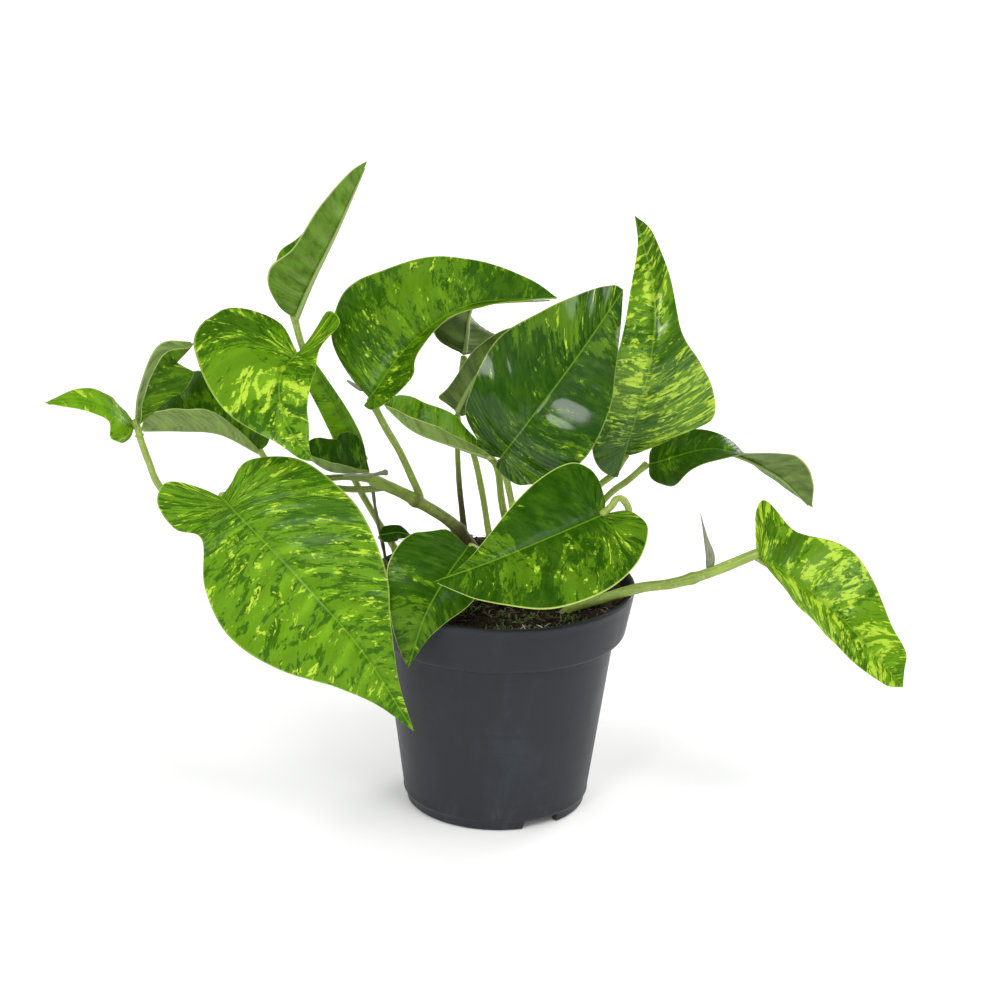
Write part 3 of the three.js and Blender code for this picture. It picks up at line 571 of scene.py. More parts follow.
def feed(tree, socket, value):
    """Links an output to a socket, or sets the socket's own value."""
    if isinstance(value, bpy.types.NodeSocket):
        tree.links.new(value, socket)
    elif isinstance(value, (tuple, list)) and len(value) == 3 and socket.type == "RGBA":
        socket.default_value = (*value, 1)
    else:
        socket.default_value = value


def calculate(tree, operation, a, b=0.0, clamp=False):
    made = tree.nodes.new("ShaderNodeMath")
    made.operation = operation
    made.use_clamp = clamp
    feed(tree, made.inputs[0], a)
    feed(tree, made.inputs[1], b)
    return made.outputs[0]


def blend_colour(tree, factor, a, b, mode="MIX"):
    made = tree.nodes.new("ShaderNodeMix")
    made.data_type = "RGBA"
    made.blend_type = mode
    feed(tree, made.inputs[0], factor)
    feed(tree, made.inputs[6], a)
    feed(tree, made.inputs[7], b)
    return made.outputs[2]


def step_between(tree, value, low, high, to_low=0.0, to_high=1.0):
    """A smooth rise from to_low to to_high as value goes from low to high."""
    made = tree.nodes.new("ShaderNodeMapRange")
    made.interpolation_type = "SMOOTHSTEP"
    for index, number in enumerate((value, low, high, to_low, to_high)):
        feed(tree, made.inputs[index], number)
    return made.outputs[0]


def swayed(tree, value, by, amount):
    """The value, moved up or down by as much as another one is off the middle."""
    return calculate(tree, "ADD", value, calculate(tree, "MULTIPLY", calculate(tree, "SUBTRACT", by, 0.5),
                                                   amount))


def shade(colour, factor):
    """A colour made lighter or darker."""
    return tuple(factor * part for part in colour)


def clouds(tree, vector, scale, detail=4.0, roughness=0.55, distortion=0.0):
    made = tree.nodes.new("ShaderNodeTexNoise")
    feed(tree, made.inputs["Vector"], vector)
    made.inputs["Scale"].default_value = scale
    made.inputs["Detail"].default_value = detail
    made.inputs["Roughness"].default_value = roughness
    made.inputs["Distortion"].default_value = distortion
    return made.outputs["Fac"]


def stretched(tree, vector, scale, shift=(0, 0, 0)):
    """The vector scaled by three numbers, then moved by three numbers or by a vector output."""
    made = tree.nodes.new("ShaderNodeVectorMath")
    made.operation = "MULTIPLY_ADD"
    feed(tree, made.inputs[0], vector)
    made.inputs[1].default_value = scale
    feed(tree, made.inputs[2], shift)
    return made.outputs[0]


def carried(tree, name):
    """A number that the mesh carries at each of its points."""
    made = tree.nodes.new("ShaderNodeAttribute")
    made.attribute_name = name
    return made.outputs["Fac"]


def layout(tree, name):
    made = tree.nodes.new("ShaderNodeUVMap")
    made.uv_map = name
    return made.outputs[0]


def relief(tree, height, strength, distance):
    made = tree.nodes.new("ShaderNodeBump")
    made.inputs["Strength"].default_value = strength
    made.inputs["Distance"].default_value = distance
    feed(tree, made.inputs["Height"], height)
    return made.outputs[0]


def new_group(name, inputs, outputs):
    """An empty node group; returns it with its input node's and output node's sockets."""
    group = bpy.data.node_groups.new(name, "ShaderNodeTree")
    for label, kind, default in inputs:
        socket = group.interface.new_socket(label, in_out="INPUT", socket_type=kind)
        if default is not None:
            socket.default_value = default
    for label in outputs:
        group.interface.new_socket(label, in_out="OUTPUT", socket_type="NodeSocketFloat")
    source = group.nodes.new("NodeGroupInput")
    target = group.nodes.new("NodeGroupOutput")
    return group, source.outputs, target.inputs


def placed(tree, group, **values):
    """Puts a node group in a tree with its own values; returns its outputs."""
    made = tree.nodes.new("ShaderNodeGroup")
    made.node_tree = group
    for label, value in values.items():
        feed(tree, made.inputs[label.replace("_", " ").capitalize()], value)
    return made.outputs


def new_material(name):
    made = bpy.data.materials.new(name)
    made.use_nodes = True
    return made, made.node_tree, made.node_tree.nodes["Principled BSDF"].inputs


def marbling_group():
    """Ragged patches drawn out along the veins, as light, bright and dark masks."""
    made = bpy.data.node_groups.get("leaf_marbling")
    if made:
        return made
    group, source, target = new_group(
        "leaf_marbling",
        [("Run", "NodeSocketVector", None), ("Seed", "NodeSocketFloat", 0.0),
         ("Light", "NodeSocketFloat", 0.5),
         ("Bright", "NodeSocketFloat", 0.5), ("Dark", "NodeSocketFloat", 0.5)],
        ["Light", "Bright", "Dark", "Mottle"],
    )
    offset = group.nodes.new("ShaderNodeCombineXYZ")
    feed(group, offset.inputs[0], calculate(group, "MULTIPLY", source["Seed"], 7.31))
    feed(group, offset.inputs[1], calculate(group, "MULTIPLY", source["Seed"], 3.17))
    feed(group, offset.inputs[2], source["Seed"])
    shift = offset.outputs[0]

    def layer(scale, detail, roughness, distortion):
        return clouds(group, stretched(group, source["Run"], scale, shift), 1.0, detail, roughness,
                      distortion)

    broad = layer((1.5, 0.46, 1), 3.0, 0.55, 0.7)
    streaks = layer((5.6, 1.0, 1), 6.0, 0.68, 1.0)
    ragged = layer((12.0, 3.4, 1), 5.0, 0.65, 0.4)
    mixed = calculate(group, "MULTIPLY", calculate(group, "ADD", broad, streaks), 0.55)
    mixed = swayed(group, mixed, ragged, 0.42)
    light = swayed(group, mixed, source["Light"], 0.36)
    feed(group, target["Light"], step_between(group, light, 0.51, 0.58))

    flecks = layer((3.6, 1.0, 1.7), 5.0, 0.66, 0.8)
    flecks = swayed(group, flecks, ragged, 0.36)
    flecks = swayed(group, flecks, source["Bright"], 0.3)
    bright = calculate(group, "MULTIPLY", step_between(group, flecks, 0.575, 0.635),
                       step_between(group, light, 0.52, 0.6))
    feed(group, target["Bright"], bright)

    patches = layer((3.3, 0.8, 2.3), 5.0, 0.64, 0.8)
    patches = swayed(group, patches, ragged, 0.3)
    patches = swayed(group, patches, source["Dark"], 0.3)
    feed(group, target["Dark"], step_between(group, patches, 0.55, 0.6))
    feed(group, target["Mottle"], layer((4.5, 1.2, 0.6), 6.0, 0.6, 0.2))
    return group


def vein_group():
    """Lines along the side veins, fading to the edge, the fine ribs between them, the pale midrib, and painted
    shade in a band beside the sunken midrib.
    """
    made = bpy.data.node_groups.get("leaf_veins")
    if made:
        return made
    group, source, target = new_group(
        "leaf_veins",
        [("Row", "NodeSocketFloat", 0.0), ("Share", "NodeSocketFloat", 0.0),
         ("Run", "NodeSocketVector", None)],
        ["Line", "Rib", "Midrib", "Channel shade"],
    )
    wave = calculate(group, "ABSOLUTE", calculate(group, "SUBTRACT",
                                                  calculate(group, "FRACT",
                                                            calculate(group, "ADD", source["Row"], 0.5)),
                                                            0.5))
    line = step_between(group, wave, 0.03, 0.3, 1.0, 0.0)
    feed(group, target["Line"], calculate(group, "MULTIPLY", line,
                                          step_between(group, source["Share"], 0.1, 0.95, 1.0, 0.15)))
    fine = calculate(group, "SINE", calculate(group, "MULTIPLY", source["Row"], 2 * math.pi * 4))
    feed(group, target["Rib"], calculate(group, "ADD", calculate(group, "MULTIPLY", fine, 0.5), 0.5))
    parts = group.nodes.new("ShaderNodeSeparateXYZ")
    feed(group, parts.inputs[0], source["Run"])
    reach = calculate(group, "ABSOLUTE", parts.outputs[1])
    feed(group, target["Midrib"], step_between(group, reach, 0.01, 0.055, 1.0, 0.0))
    # Painted shade: a band on both sides of the midrib, darkest next to it, where its sunken channel lies in
    # shadow.
    feed(group, target["Channel shade"], step_between(group, reach, 0.05, 0.28, 1.0, 0.0))
    return group


# ---------- leaf materials ----------


def blade_upper(name, finish, colours):
    """Glossy marbled upper side of one leaf."""
    material, tree, shader = new_material(f"{name}_upper")
    share = carried(tree, "share")
    veins = placed(tree, vein_group(), row=carried(tree, "vein_row"), share=share,
                   run=layout(tree, "vein_run"))
    light = calculate(tree, "ADD", carried(tree, "marbled"), finish["light"])
    marble = placed(
        tree, marbling_group(), run=layout(tree, "vein_run"), seed=finish["seed"], light=light,
        bright=finish["bright"], dark=finish["dark"],
    )
    uneven = calculate(tree, "MULTIPLY", calculate(tree, "SUBTRACT", marble["Mottle"], 0.5), 1.5)
    tone = calculate(tree, "ADD", uneven, finish["tone"], clamp=True)
    plain = blend_colour(tree, tone, colours.deep_green[:], colours.leaf_green[:])
    lime = blend_colour(tree, tone, shade(colours.lime, 0.7), shade(colours.lime, 1.08))
    marbled = blend_colour(tree, calculate(tree, "MULTIPLY", marble["Light"], 0.6 + 0.35 * finish["tone"]),
                           plain, lime)
    shadowed = calculate(tree, "MULTIPLY", calculate(tree, "SUBTRACT", 1.0, veins["Line"]), 0.36)
    marbled = blend_colour(tree, shadowed, marbled, shade(colours.deep_green, 0.8 + 1.2 * finish["tone"]))
    dark = shade(colours.deep_green, 0.85 + 1.1 * finish["tone"])
    shaded = blend_colour(tree, calculate(tree, "MULTIPLY", marble["Dark"], 0.82), marbled, dark)
    flecked = blend_colour(tree, calculate(tree, "MULTIPLY", marble["Bright"], 0.85), shaded,
                           colours.yellow[:])
    # Painted shade along the sunken midrib channel: this band blends the colour towards the dark green.
    lined = blend_colour(tree, calculate(tree, "MULTIPLY", veins["Channel shade"], 0.35), flecked, dark)
    rib = blend_colour(tree, calculate(tree, "MULTIPLY", veins["Midrib"], 0.42), lined,
                       shade(colours.lime, 1.1))
    edge = calculate(tree, "MULTIPLY", step_between(tree, share, 0.975, 0.997), finish.get("margin", 0.4))
    feed(tree, shader["Base Color"], blend_colour(tree, edge, rib, (0.48, 0.60, 0.13)))
    rough = step_between(tree, marble["Mottle"], 0.3, 0.7, finish.get("rough", 0.3),
                         finish.get("rough", 0.3) + 0.12)
    feed(tree, shader["Roughness"], rough)
    shader["IOR"].default_value = 1.36
    shader["Specular IOR Level"].default_value = 0.14
    shader["Coat Weight"].default_value = finish.get("gloss", 0.07)
    shader["Coat Roughness"].default_value = 0.1
    bumps = calculate(tree, "ADD", calculate(tree, "MULTIPLY", veins["Rib"],
                                             0.4 + 3.5 * finish.get("gloss", 0.0)), marble["Mottle"])
    feed(tree, shader["Normal"], relief(tree, bumps, 0.5, 0.0005))
    return material


def blade_lower(name, finish, colours):
    """Matt underside of one leaf: paler and greyer, with the marbling showing faintly."""
    material, tree, shader = new_material(f"{name}_lower")
    share = carried(tree, "share")
    veins = placed(tree, vein_group(), row=carried(tree, "vein_row"), share=share,
                   run=layout(tree, "vein_run"))
    light = calculate(tree, "ADD", carried(tree, "marbled"), finish["light"])
    marble = placed(
        tree, marbling_group(), run=layout(tree, "vein_run"), seed=finish["seed"], light=light,
        bright=finish["bright"], dark=finish["dark"],
    )
    lush = finish.get("lush", 0.25)
    pale = tuple(a * (0.3 + 0.7 * finish["under"]) * (1 - lush) + lush * b for a,
                 b in zip(colours.underside, colours.leaf_green))
    dark = shade(pale, 0.55)
    mottled = blend_colour(tree, step_between(tree, marble["Mottle"], 0.35, 0.65), dark, pale)
    marked = blend_colour(tree, calculate(tree, "MULTIPLY", marble["Light"], 0.4), mottled,
                          shade(pale, 1.15))
    shaded = blend_colour(tree, calculate(tree, "MULTIPLY", marble["Dark"], 0.4), marked, dark)
    lined = blend_colour(tree, calculate(tree, "MULTIPLY", veins["Line"], 0.35), shaded,
                         colours.underside[:])
    edge = step_between(tree, share, 0.96, 0.99)
    feed(tree, shader["Base Color"], blend_colour(tree, edge, lined, (0.50, 0.62, 0.22)))
    feed(tree, shader["Roughness"], step_between(tree, marble["Mottle"], 0.3, 0.7, 0.46, 0.58))
    shader["Specular IOR Level"].default_value = 0.2
    feed(tree, shader["Normal"], relief(tree, calculate(tree, "ADD", veins["Rib"], marble["Mottle"]), 0.3,
                                        0.0004))
    return material


def midrib_skin(colours):
    made = bpy.data.materials.get("midrib_skin")
    if made:
        return made
    material, tree, shader = new_material("midrib_skin")
    streaks = clouds(tree, stretched(tree, layout(tree, "vein_run"), (1, 6, 1)), 3.0)
    feed(tree, shader["Base Color"], blend_colour(tree, streaks, shade(colours.underside, 0.6),
                                                  shade(colours.underside, 1.1)))
    feed(tree, shader["Roughness"], step_between(tree, streaks, 0.3, 0.7, 0.4, 0.52))
    feed(tree, shader["Normal"], relief(tree, streaks, 0.2, 0.0003))
    return material


# ---------- mesh helpers ----------


def spline(points, share):
    """A smooth curve through the points, at shares from 0 to 1 of their count."""
    points = np.asarray(points, float)
    share = np.clip(np.asarray(share, float), 0, 1)
    last = len(points) - 1
    i = np.minimum(np.floor(share * last).astype(int), last - 1)
    f = (share * last - i)[..., None]
    around = np.vstack([2 * points[0] - points[1], points, 2 * points[-1] - points[-2]])
    a, b, c, d = around[i], around[i + 1], around[i + 2], around[i + 3]
    return 0.5 * (2 * b + (c - a) * f + (2 * a - 5 * b + 4 * c - d) * f**2 + (3 * b - a - 3 * c + d) * f**3)


def unit(rows):
    return rows / np.maximum(np.linalg.norm(rows, axis=-1, keepdims=True), 1e-9)


def smooth_rise(low, high, value):
    t = np.clip((np.asarray(value, float) - low) / (high - low), 0, 1)
    return t * t * (3 - 2 * t)


def carry(mesh, name, values):
    made = mesh.attributes.new(name, "FLOAT", "POINT")
    made.data.foreach_set("value", np.asarray(values, np.float32))


def lay_out(mesh, name, pairs):
    """A UV map from one pair of numbers a point."""
    made = mesh.uv_layers.new(name=name)
    corners = np.zeros(len(mesh.loops), np.int32)
    mesh.loops.foreach_get("vertex_index", corners)
    made.data.foreach_set("uv", np.asarray(pairs, np.float32)[corners].ravel())


def add_piece(name, points, faces, materials, replaced=(), slots_of=None, smooth=True):
    """Makes one mesh piece in metres and lets it ride on the part."""
    mesh = bpy.data.meshes.new(name)
    mesh.from_pydata(np.asarray(points).tolist(), [], faces)
    for material in materials:
        mesh.materials.append(material)
    if slots_of is not None:
        mesh.polygons.foreach_set("material_index", np.asarray(slots_of, np.int32))
    mesh.polygons.foreach_set("use_smooth", np.full(len(mesh.polygons), smooth))
    piece = bpy.data.objects.new(name, mesh)
    bpy.context.scene.collection.objects.link(piece)
    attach(piece, "root")
    if replaced:
        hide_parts(*replaced)
    return piece


def sharpen(piece, limit):
    """Keeps shading crisp across edges that turn by more than the limit, in degrees."""
    with_edges = bmesh.new()
    with_edges.from_mesh(piece.data)
    for edge in with_edges.edges:
        if len(edge.link_faces) == 2 and edge.calc_face_angle(0) > math.radians(limit):
            edge.smooth = False
    with_edges.to_mesh(piece.data)
    with_edges.free()


def sweep(centres, radii, sides, groove=0.0, start_up=(0, 0, 1)):
    """Rings around a route, with rounded ends: points, faces, share of the route, angle."""
    centres = np.asarray(centres, float)
    radii = np.asarray(radii, float)
    tangents = unit(np.gradient(centres, axis=0))
    up = np.asarray(start_up, float)
    if abs(np.dot(up, tangents[0])) > 0.9:
        up = np.array([1.0, 0, 0])
    angles = 2 * np.pi * np.arange(sides) / sides
    rim = 1 - groove * np.exp(-((np.angle(np.exp(1j * (angles - np.pi / 2)))) / 0.5) ** 2)
    points, shares, turns = [], [], []
    end_share = np.array([0.0])
    for i, (centre, radius, tangent) in enumerate(zip(centres, radii, tangents)):
        up = unit(up - np.dot(up, tangent) * tangent)
        across = np.cross(tangent, up)
        ring = centre + radius * (np.outer(np.cos(angles) * rim,
                                           across) + np.outer(np.sin(angles) * rim, up))
        points.append(ring)
        shares.append(np.full(sides, i / (len(centres) - 1)))
        turns.append(angles)
    count = len(centres)
    points = np.vstack(points + [centres[:1] - tangents[:1] * radii[0] * 0.35,
                                 centres[-1:] + tangents[-1:] * radii[-1] * 0.35])
    shares = np.concatenate(shares + [end_share, end_share + 1])
    turns = np.concatenate(turns + [end_share, end_share])
    faces = []
    for i in range(count - 1):
        for k in range(sides):
            n = (k + 1) % sides
            faces.append([i * sides + k, i * sides + n, (i + 1) * sides + n, (i + 1) * sides + k])
    first, last, end = count * sides, count * sides + 1, (count - 1) * sides
    for k in range(sides):
        n = (k + 1) % sides
        faces.append([first, n, k])
        faces.append([last, end + k, end + n])
    return points, faces, shares, turns


def joined(parts):
    """Several (points, faces, extras...) meshes as one, each extra being one number a point."""
    points, faces, extras, base = [], [], [], 0
    for part in parts:
        points.append(part[0])
        faces.extend([[base + v for v in face] for face in part[1]])
        extras.append(part[2:])
        base += len(part[0])
    return np.vstack(points), faces, [np.concatenate(column) for column in zip(*extras)]


# ---------- leaves ----------


def midrib_length(leaf):
    along = spline(leaf["midrib"], np.linspace(0, 1, 61))
    return float(np.linalg.norm(np.diff(along, axis=0), axis=1).sum())


def blade_surface(leaf, length, along, out, side):
    """Points and upward normals of a blade, for places along the midrib and out from it."""
    share = np.clip(along / length, 0, 1)
    step = 0.001
    centre = spline(leaf["midrib"], share)
    tangent = unit(spline(leaf["midrib"], share + step) - spline(leaf["midrib"], share - step))
    up = spline(leaf["facing"], share)
    up = unit(up - (up * tangent).sum(-1, keepdims=True) * tangent)
    across = np.cross(tangent, up)
    half = (side > 0).astype(int)

    def mixed(pair):
        at_base, at_tip = np.asarray(pair[0], float)[half], np.asarray(pair[1], float)[half]
        return at_base + (at_tip - at_base) * share

    fold = np.radians(mixed(leaf["fold"]))
    curl = mixed(leaf["curl"])
    curl = np.radians(np.where(np.abs(curl) < 0.001, 0.001, curl)) / 10
    turn = fold + curl * out
    flat = (np.sin(turn) - np.sin(fold)) / curl
    rise = (np.cos(fold) - np.cos(turn)) / curl
    back = np.maximum(-along, 0)
    lobe = np.asarray(leaf["bend"], float)[half]
    lobe = np.radians(np.where(np.abs(lobe) < 0.001, 0.001, lobe)) / 10
    tilt = lobe * back
    points = centre - tangent * (np.sin(tilt) / lobe)[..., None]
    points = points + up * ((1 - np.cos(tilt)) / lobe + rise)[..., None]
    points = points + across * (side * flat)[..., None]
    normals = up * (np.cos(turn) * np.cos(tilt))[..., None] - across * (side * np.sin(turn))[..., None]
    normals = normals + tangent * (np.cos(turn) * np.sin(tilt))[..., None]
    return points, unit(normals)


def vein_starts(leaf, length):
    """Where the vein rows leave the midrib, in millimetres from the petiole."""
    starts = [0.0]
    for i in range(1, VEIN_ROWS):
        ends = [spline([[0, 0], *leaf[side], [length, 0]], i / VEIN_ROWS) for side in ("left", "right")]
        swept = (ends[0][0] + ends[1][0] - VEIN_SWEEP * (ends[0][1] + ends[1][1])) / 2
        starts.append(max(starts[-1] + MIN_VEIN_PITCH * length, swept))
    return [*starts, length]


def blade_mesh(leaf, finish, thickness, quilting):
    """Both skins of a blade on a fine grid of vein rows, with quilted relief and a rippled edge."""
    length = midrib_length(leaf)
    rows = max(MIN_BLADE_ROWS, int(length / BLADE_ROW_PITCH))
    steps = BLADE_STEPS
    row_share = np.linspace(0, 1, rows + 1)[1:-1, None]
    start = spline([[value] for value in vein_starts(leaf, length)], row_share[:, 0])
    column = np.arange(-steps, steps + 1)[None, :]
    out_share = np.abs(column) / steps
    side = np.where(column < 0, -1, 1) * np.ones_like(row_share, int)
    left = spline([[0, 0], *leaf["left"], [length, 0]], row_share[:, 0])
    right = spline([[0, 0], *leaf["right"], [length, 0]], row_share[:, 0])
    edge_along = np.where(column < 0, left[:, :1], right[:, :1])
    edge_out = np.maximum(np.where(column < 0, left[:, 1:], right[:, 1:]), 0.05)
    along = start + (edge_along - start) * out_share**VEIN_BOW
    out = edge_out * out_share
    points, normals = blade_surface(leaf, length, along, out, side)
    other = blade_surface(leaf, length, along[:, steps], out[:, steps], np.full(rows - 1, -1))[1]
    normals[:, steps] = unit(normals[:, steps] + other)

    veins = max(MIN_VEINS, round(length / VEIN_PITCH))
    vein_row = row_share * veins * np.ones_like(out_share)
    wide = np.clip(edge_out / 12, 0.15, 1)
    seed = finish["seed"]
    swell = np.abs(np.sin(np.pi * vein_row)) ** 0.8 - 0.55
    swell *= smooth_rise(0.02, 0.22, out_share) * (1 - 0.75 * smooth_rise(0.6, 1.0, out_share)) * wide
    uneven = 0.75 + 0.45 * np.sin(5.3 * row_share + seed) * np.sin(3.7 * out_share + seed * 1.7)
    channel = -0.45 * np.exp(-((out / 1.1) ** 2)) * wide
    ripple = np.sin(2 * np.pi * (2.6 * row_share + seed)) * out_share**3
    ripple = ripple + 0.5 * np.sin(2 * np.pi * (6.1 * row_share + 0.37 * seed) + side) * out_share**4
    rise = quilting / MM * swell * uneven + channel + finish["wave"] * ripple * wide
    thin = thickness / MM / 2 * (1 - 0.45 * out_share**6) * np.ones_like(row_share)

    base, base_up = blade_surface(leaf, length, np.zeros(1), np.zeros(1), np.ones(1, int))
    tip, tip_up = blade_surface(leaf, length, np.full(1, length), np.zeros(1), np.ones(1, int))
    width = 2 * steps + 1
    skins = []
    for way in (1, -1):
        offset = rise + way * thin
        grid = points + normals * offset[..., None]
        skins.append(np.vstack([grid.reshape(-1, 3), base + base_up * way * 0.15,
                                tip + tip_up * way * 0.15]))
    count = len(skins[0])
    base_at, tip_at = count - 2, count - 1
    faces, slots = [], []
    for way, shift in ((0, 0), (1, count)):
        def add(*corners):
            faces.append([shift + c for c in (corners if way == 0 else corners[::-1])])
            slots.append(way)
        for k in range(width - 1):
            add(base_at, k + 1, k)
            add(tip_at, (rows - 2) * width + k, (rows - 2) * width + k + 1)
        for i in range(rows - 2):
            for k in range(width - 1):
                at = i * width + k
                add(at, at + 1, at + width + 1, at + width)
    rim = [base_at, *[i * width + width - 1 for i in range(rows - 1)], tip_at]
    rim += [i * width for i in range(rows - 2, -1, -1)]
    for a, b in zip(rim, rim[1:] + rim[:1]):
        faces.append([a, count + a, count + b, b])
        slots.append(0)
    flat_share = np.concatenate([(out_share * np.ones_like(row_share)).ravel(), [0.0, 0.0]])
    flat_rows = np.concatenate([vein_row.ravel(), [0.0, float(veins)]])
    reach = np.concatenate([(side * out).ravel(), [0.0, 0.0]])
    down = np.concatenate([along.ravel(), [0.0, length]])
    run = np.concatenate([(row_share * length * np.ones_like(out_share)).ravel(), [0.0, length]])
    marbled = np.zeros(count)
    for spot_along, spot_out, spread, strength in finish["spots"]:
        marbled += strength * np.exp(-((down - spot_along) ** 2 + (reach - spot_out) ** 2) / (2 * spread**2)) * 2
    return {
        "points": np.vstack(skins), "faces": faces, "slots": slots, "share": flat_share,
        "vein_row": flat_rows,
        "marbled": marbled, "run": np.column_stack([run / 10, reach / 10]), "length": length,
    }


def midrib_keel(leaf, length, base_radius):
    """The rounded rib that stands out under a blade and thins out to its tip."""
    share = np.linspace(0, 0.97, 40)
    centre, up = blade_surface(leaf, length, share * length, np.zeros(40), np.ones(40, int))
    radius = base_radius * (1 - share) ** 0.8 * 0.62 + 0.22
    centre = centre - up * (KEEL_DROP + radius[:, None])
    return sweep(centre, radius, 10, start_up=up[0])


def make_blade(name, leaf, finish, settings, petiole_radius):
    grid = blade_mesh(leaf, finish, settings.thickness, settings.quilting)
    keel_points, keel_faces, keel_share, keel_turn = midrib_keel(leaf, grid["length"], petiole_radius)
    half = len(grid["points"])
    points = np.vstack([grid["points"], keel_points]) * MM
    faces = grid["faces"] + [[half + v for v in face] for face in keel_faces]
    slots = grid["slots"] + [2] * len(keel_faces)
    colours = bpy.context.scene.pothos_leaves
    materials = [blade_upper(name, finish, colours), blade_lower(name, finish, colours),
                 midrib_skin(colours)]
    piece = add_piece(f"{name}_blade", points, faces, materials, [name], slots)
    zeros = np.zeros(len(keel_points))
    carry(piece.data, "share", np.concatenate([grid["share"], grid["share"], zeros]))
    carry(piece.data, "vein_row", np.concatenate([grid["vein_row"], grid["vein_row"], zeros]))
    carry(piece.data, "marbled", np.concatenate([grid["marbled"], grid["marbled"], zeros]))
    keel_run = np.column_stack([keel_share * grid["length"] / 10, keel_turn / 3])
    lay_out(piece.data, "vein_run", np.vstack([grid["run"], grid["run"], keel_run]))
    sharpen(piece, 70)
    return piece


# ---------- stems ----------


def stem_skin(settings):
    """Young green stalk skin that turns brown and corky where the mesh says so."""
    material, tree, shader = new_material("stalk_skin")
    along = layout(tree, "stalk_run")
    streaks = clouds(tree, stretched(tree, along, (0.5, 3.0, 1)), 2.0, 5.0, 0.6)
    mottle = clouds(tree, stretched(tree, along, (2.5, 1.5, 1), (9, 4, 2)), 2.0, 4.0, 0.6)
    green = blend_colour(tree, step_between(tree, streaks, 0.3, 0.7), shade(settings.green, 0.6),
                         settings.green[:])
    green = blend_colour(tree, step_between(tree, mottle, 0.55, 0.75, 0.0, 0.7), green,
                         tuple(1.5 * c + 0.03 for c in settings.green))
    cork = blend_colour(tree, streaks, shade(settings.brown, 0.35), shade(settings.brown, 1.5))
    aged = swayed(tree, carried(tree, "brown"), mottle, 0.7)
    feed(tree, shader["Base Color"], blend_colour(tree, step_between(tree, aged, 0.15, 0.95), green, cork))
    feed(tree, shader["Roughness"], step_between(tree, aged, 0.1, 0.9, 0.38, 0.72))
    shader["IOR"].default_value = 1.4
    feed(tree, shader["Normal"], relief(tree, calculate(tree, "ADD", streaks, mottle), 0.4, 0.0005))
    return material


def dry_skin(settings):
    """Papery grey-green bract with brown streaks."""
    material, tree, shader = new_material("dry_bract")
    along = layout(tree, "stalk_run")
    streaks = clouds(tree, stretched(tree, along, (0.8, 5.0, 1)), 2.0, 6.0, 0.65)
    colour = blend_colour(tree, step_between(tree, streaks, 0.3, 0.7), shade(settings.dry, 0.45),
                          settings.dry[:])
    browned = calculate(tree, "MULTIPLY", carried(tree, "brown"),
                        step_between(tree, streaks, 0.35, 0.6, 0.5, 1.0))
    feed(tree, shader["Base Color"], blend_colour(tree, browned, colour, (0.11, 0.075, 0.035)))
    feed(tree, shader["Roughness"], step_between(tree, streaks, 0.3, 0.7, 0.6, 0.8))
    feed(tree, shader["Normal"], relief(tree, streaks, 0.6, 0.0005))
    return material


def stem_rings(name, stem, look):
    """Centres, radii and brownness along a stem, stretched a little into what it joins."""
    route = np.asarray(look["from"] + stem["route"] + look["to"], float)
    ends = unit(np.array([route[0] - route[1], route[-1] - route[-2]]))
    reach = 1.6
    route[0] = route[0] + ends[0] * reach
    route[-1] = route[-1] + ends[1] * reach
    length = np.linalg.norm(np.diff(route, axis=0), axis=1).sum()
    share = np.linspace(0, 1, max(14, int(length / 1.1)))
    centres = spline(route, share)
    radius = np.full(len(share), float(stem["radius"])) * 1.1
    if name.startswith("petiole"):
        from_blade = 1 - 0.14 * smooth_rise(0.0, 0.12, share) + 0.22 * smooth_rise(0.6, 1.0, share)
        radius *= from_blade
    for joint in look["joints"]:
        radius *= 1 + 0.28 * np.exp(-(((share - joint) * length / 2.2) ** 2))
    wobble = np.sin(share * length * 0.31 + stem["radius"] * 9) * 0.03 + np.sin(share * length * 0.83) * 0.015
    radius *= 1 + wobble
    brown = np.interp(share, *zip(*look["brown"]))
    for joint in look["joints"]:
        brown = brown + 0.35 * np.exp(-(((share - joint) * length / 1.4) ** 2))
    return centres, radius, brown, share * length


def make_stem(name, material, sides):
    stem = STEMS[name]
    look = {**PLAIN_STEM, **STEM_LOOK.get(name, {})}
    centres, radius, brown, run = stem_rings(name, stem, look)
    groove = 0.16 if name.startswith("petiole") else 0.0
    points, faces, share, turn = sweep(centres, radius, sides, groove)
    piece = add_piece(f"{name}_stalk", points * MM, faces, [material], [name])
    carry(piece.data, "brown", np.interp(share, np.linspace(0, 1, len(brown)), brown))
    lay_out(piece.data, "stalk_run", np.column_stack([share * run[-1] / 10, np.sin(turn / 2)]))
    return piece


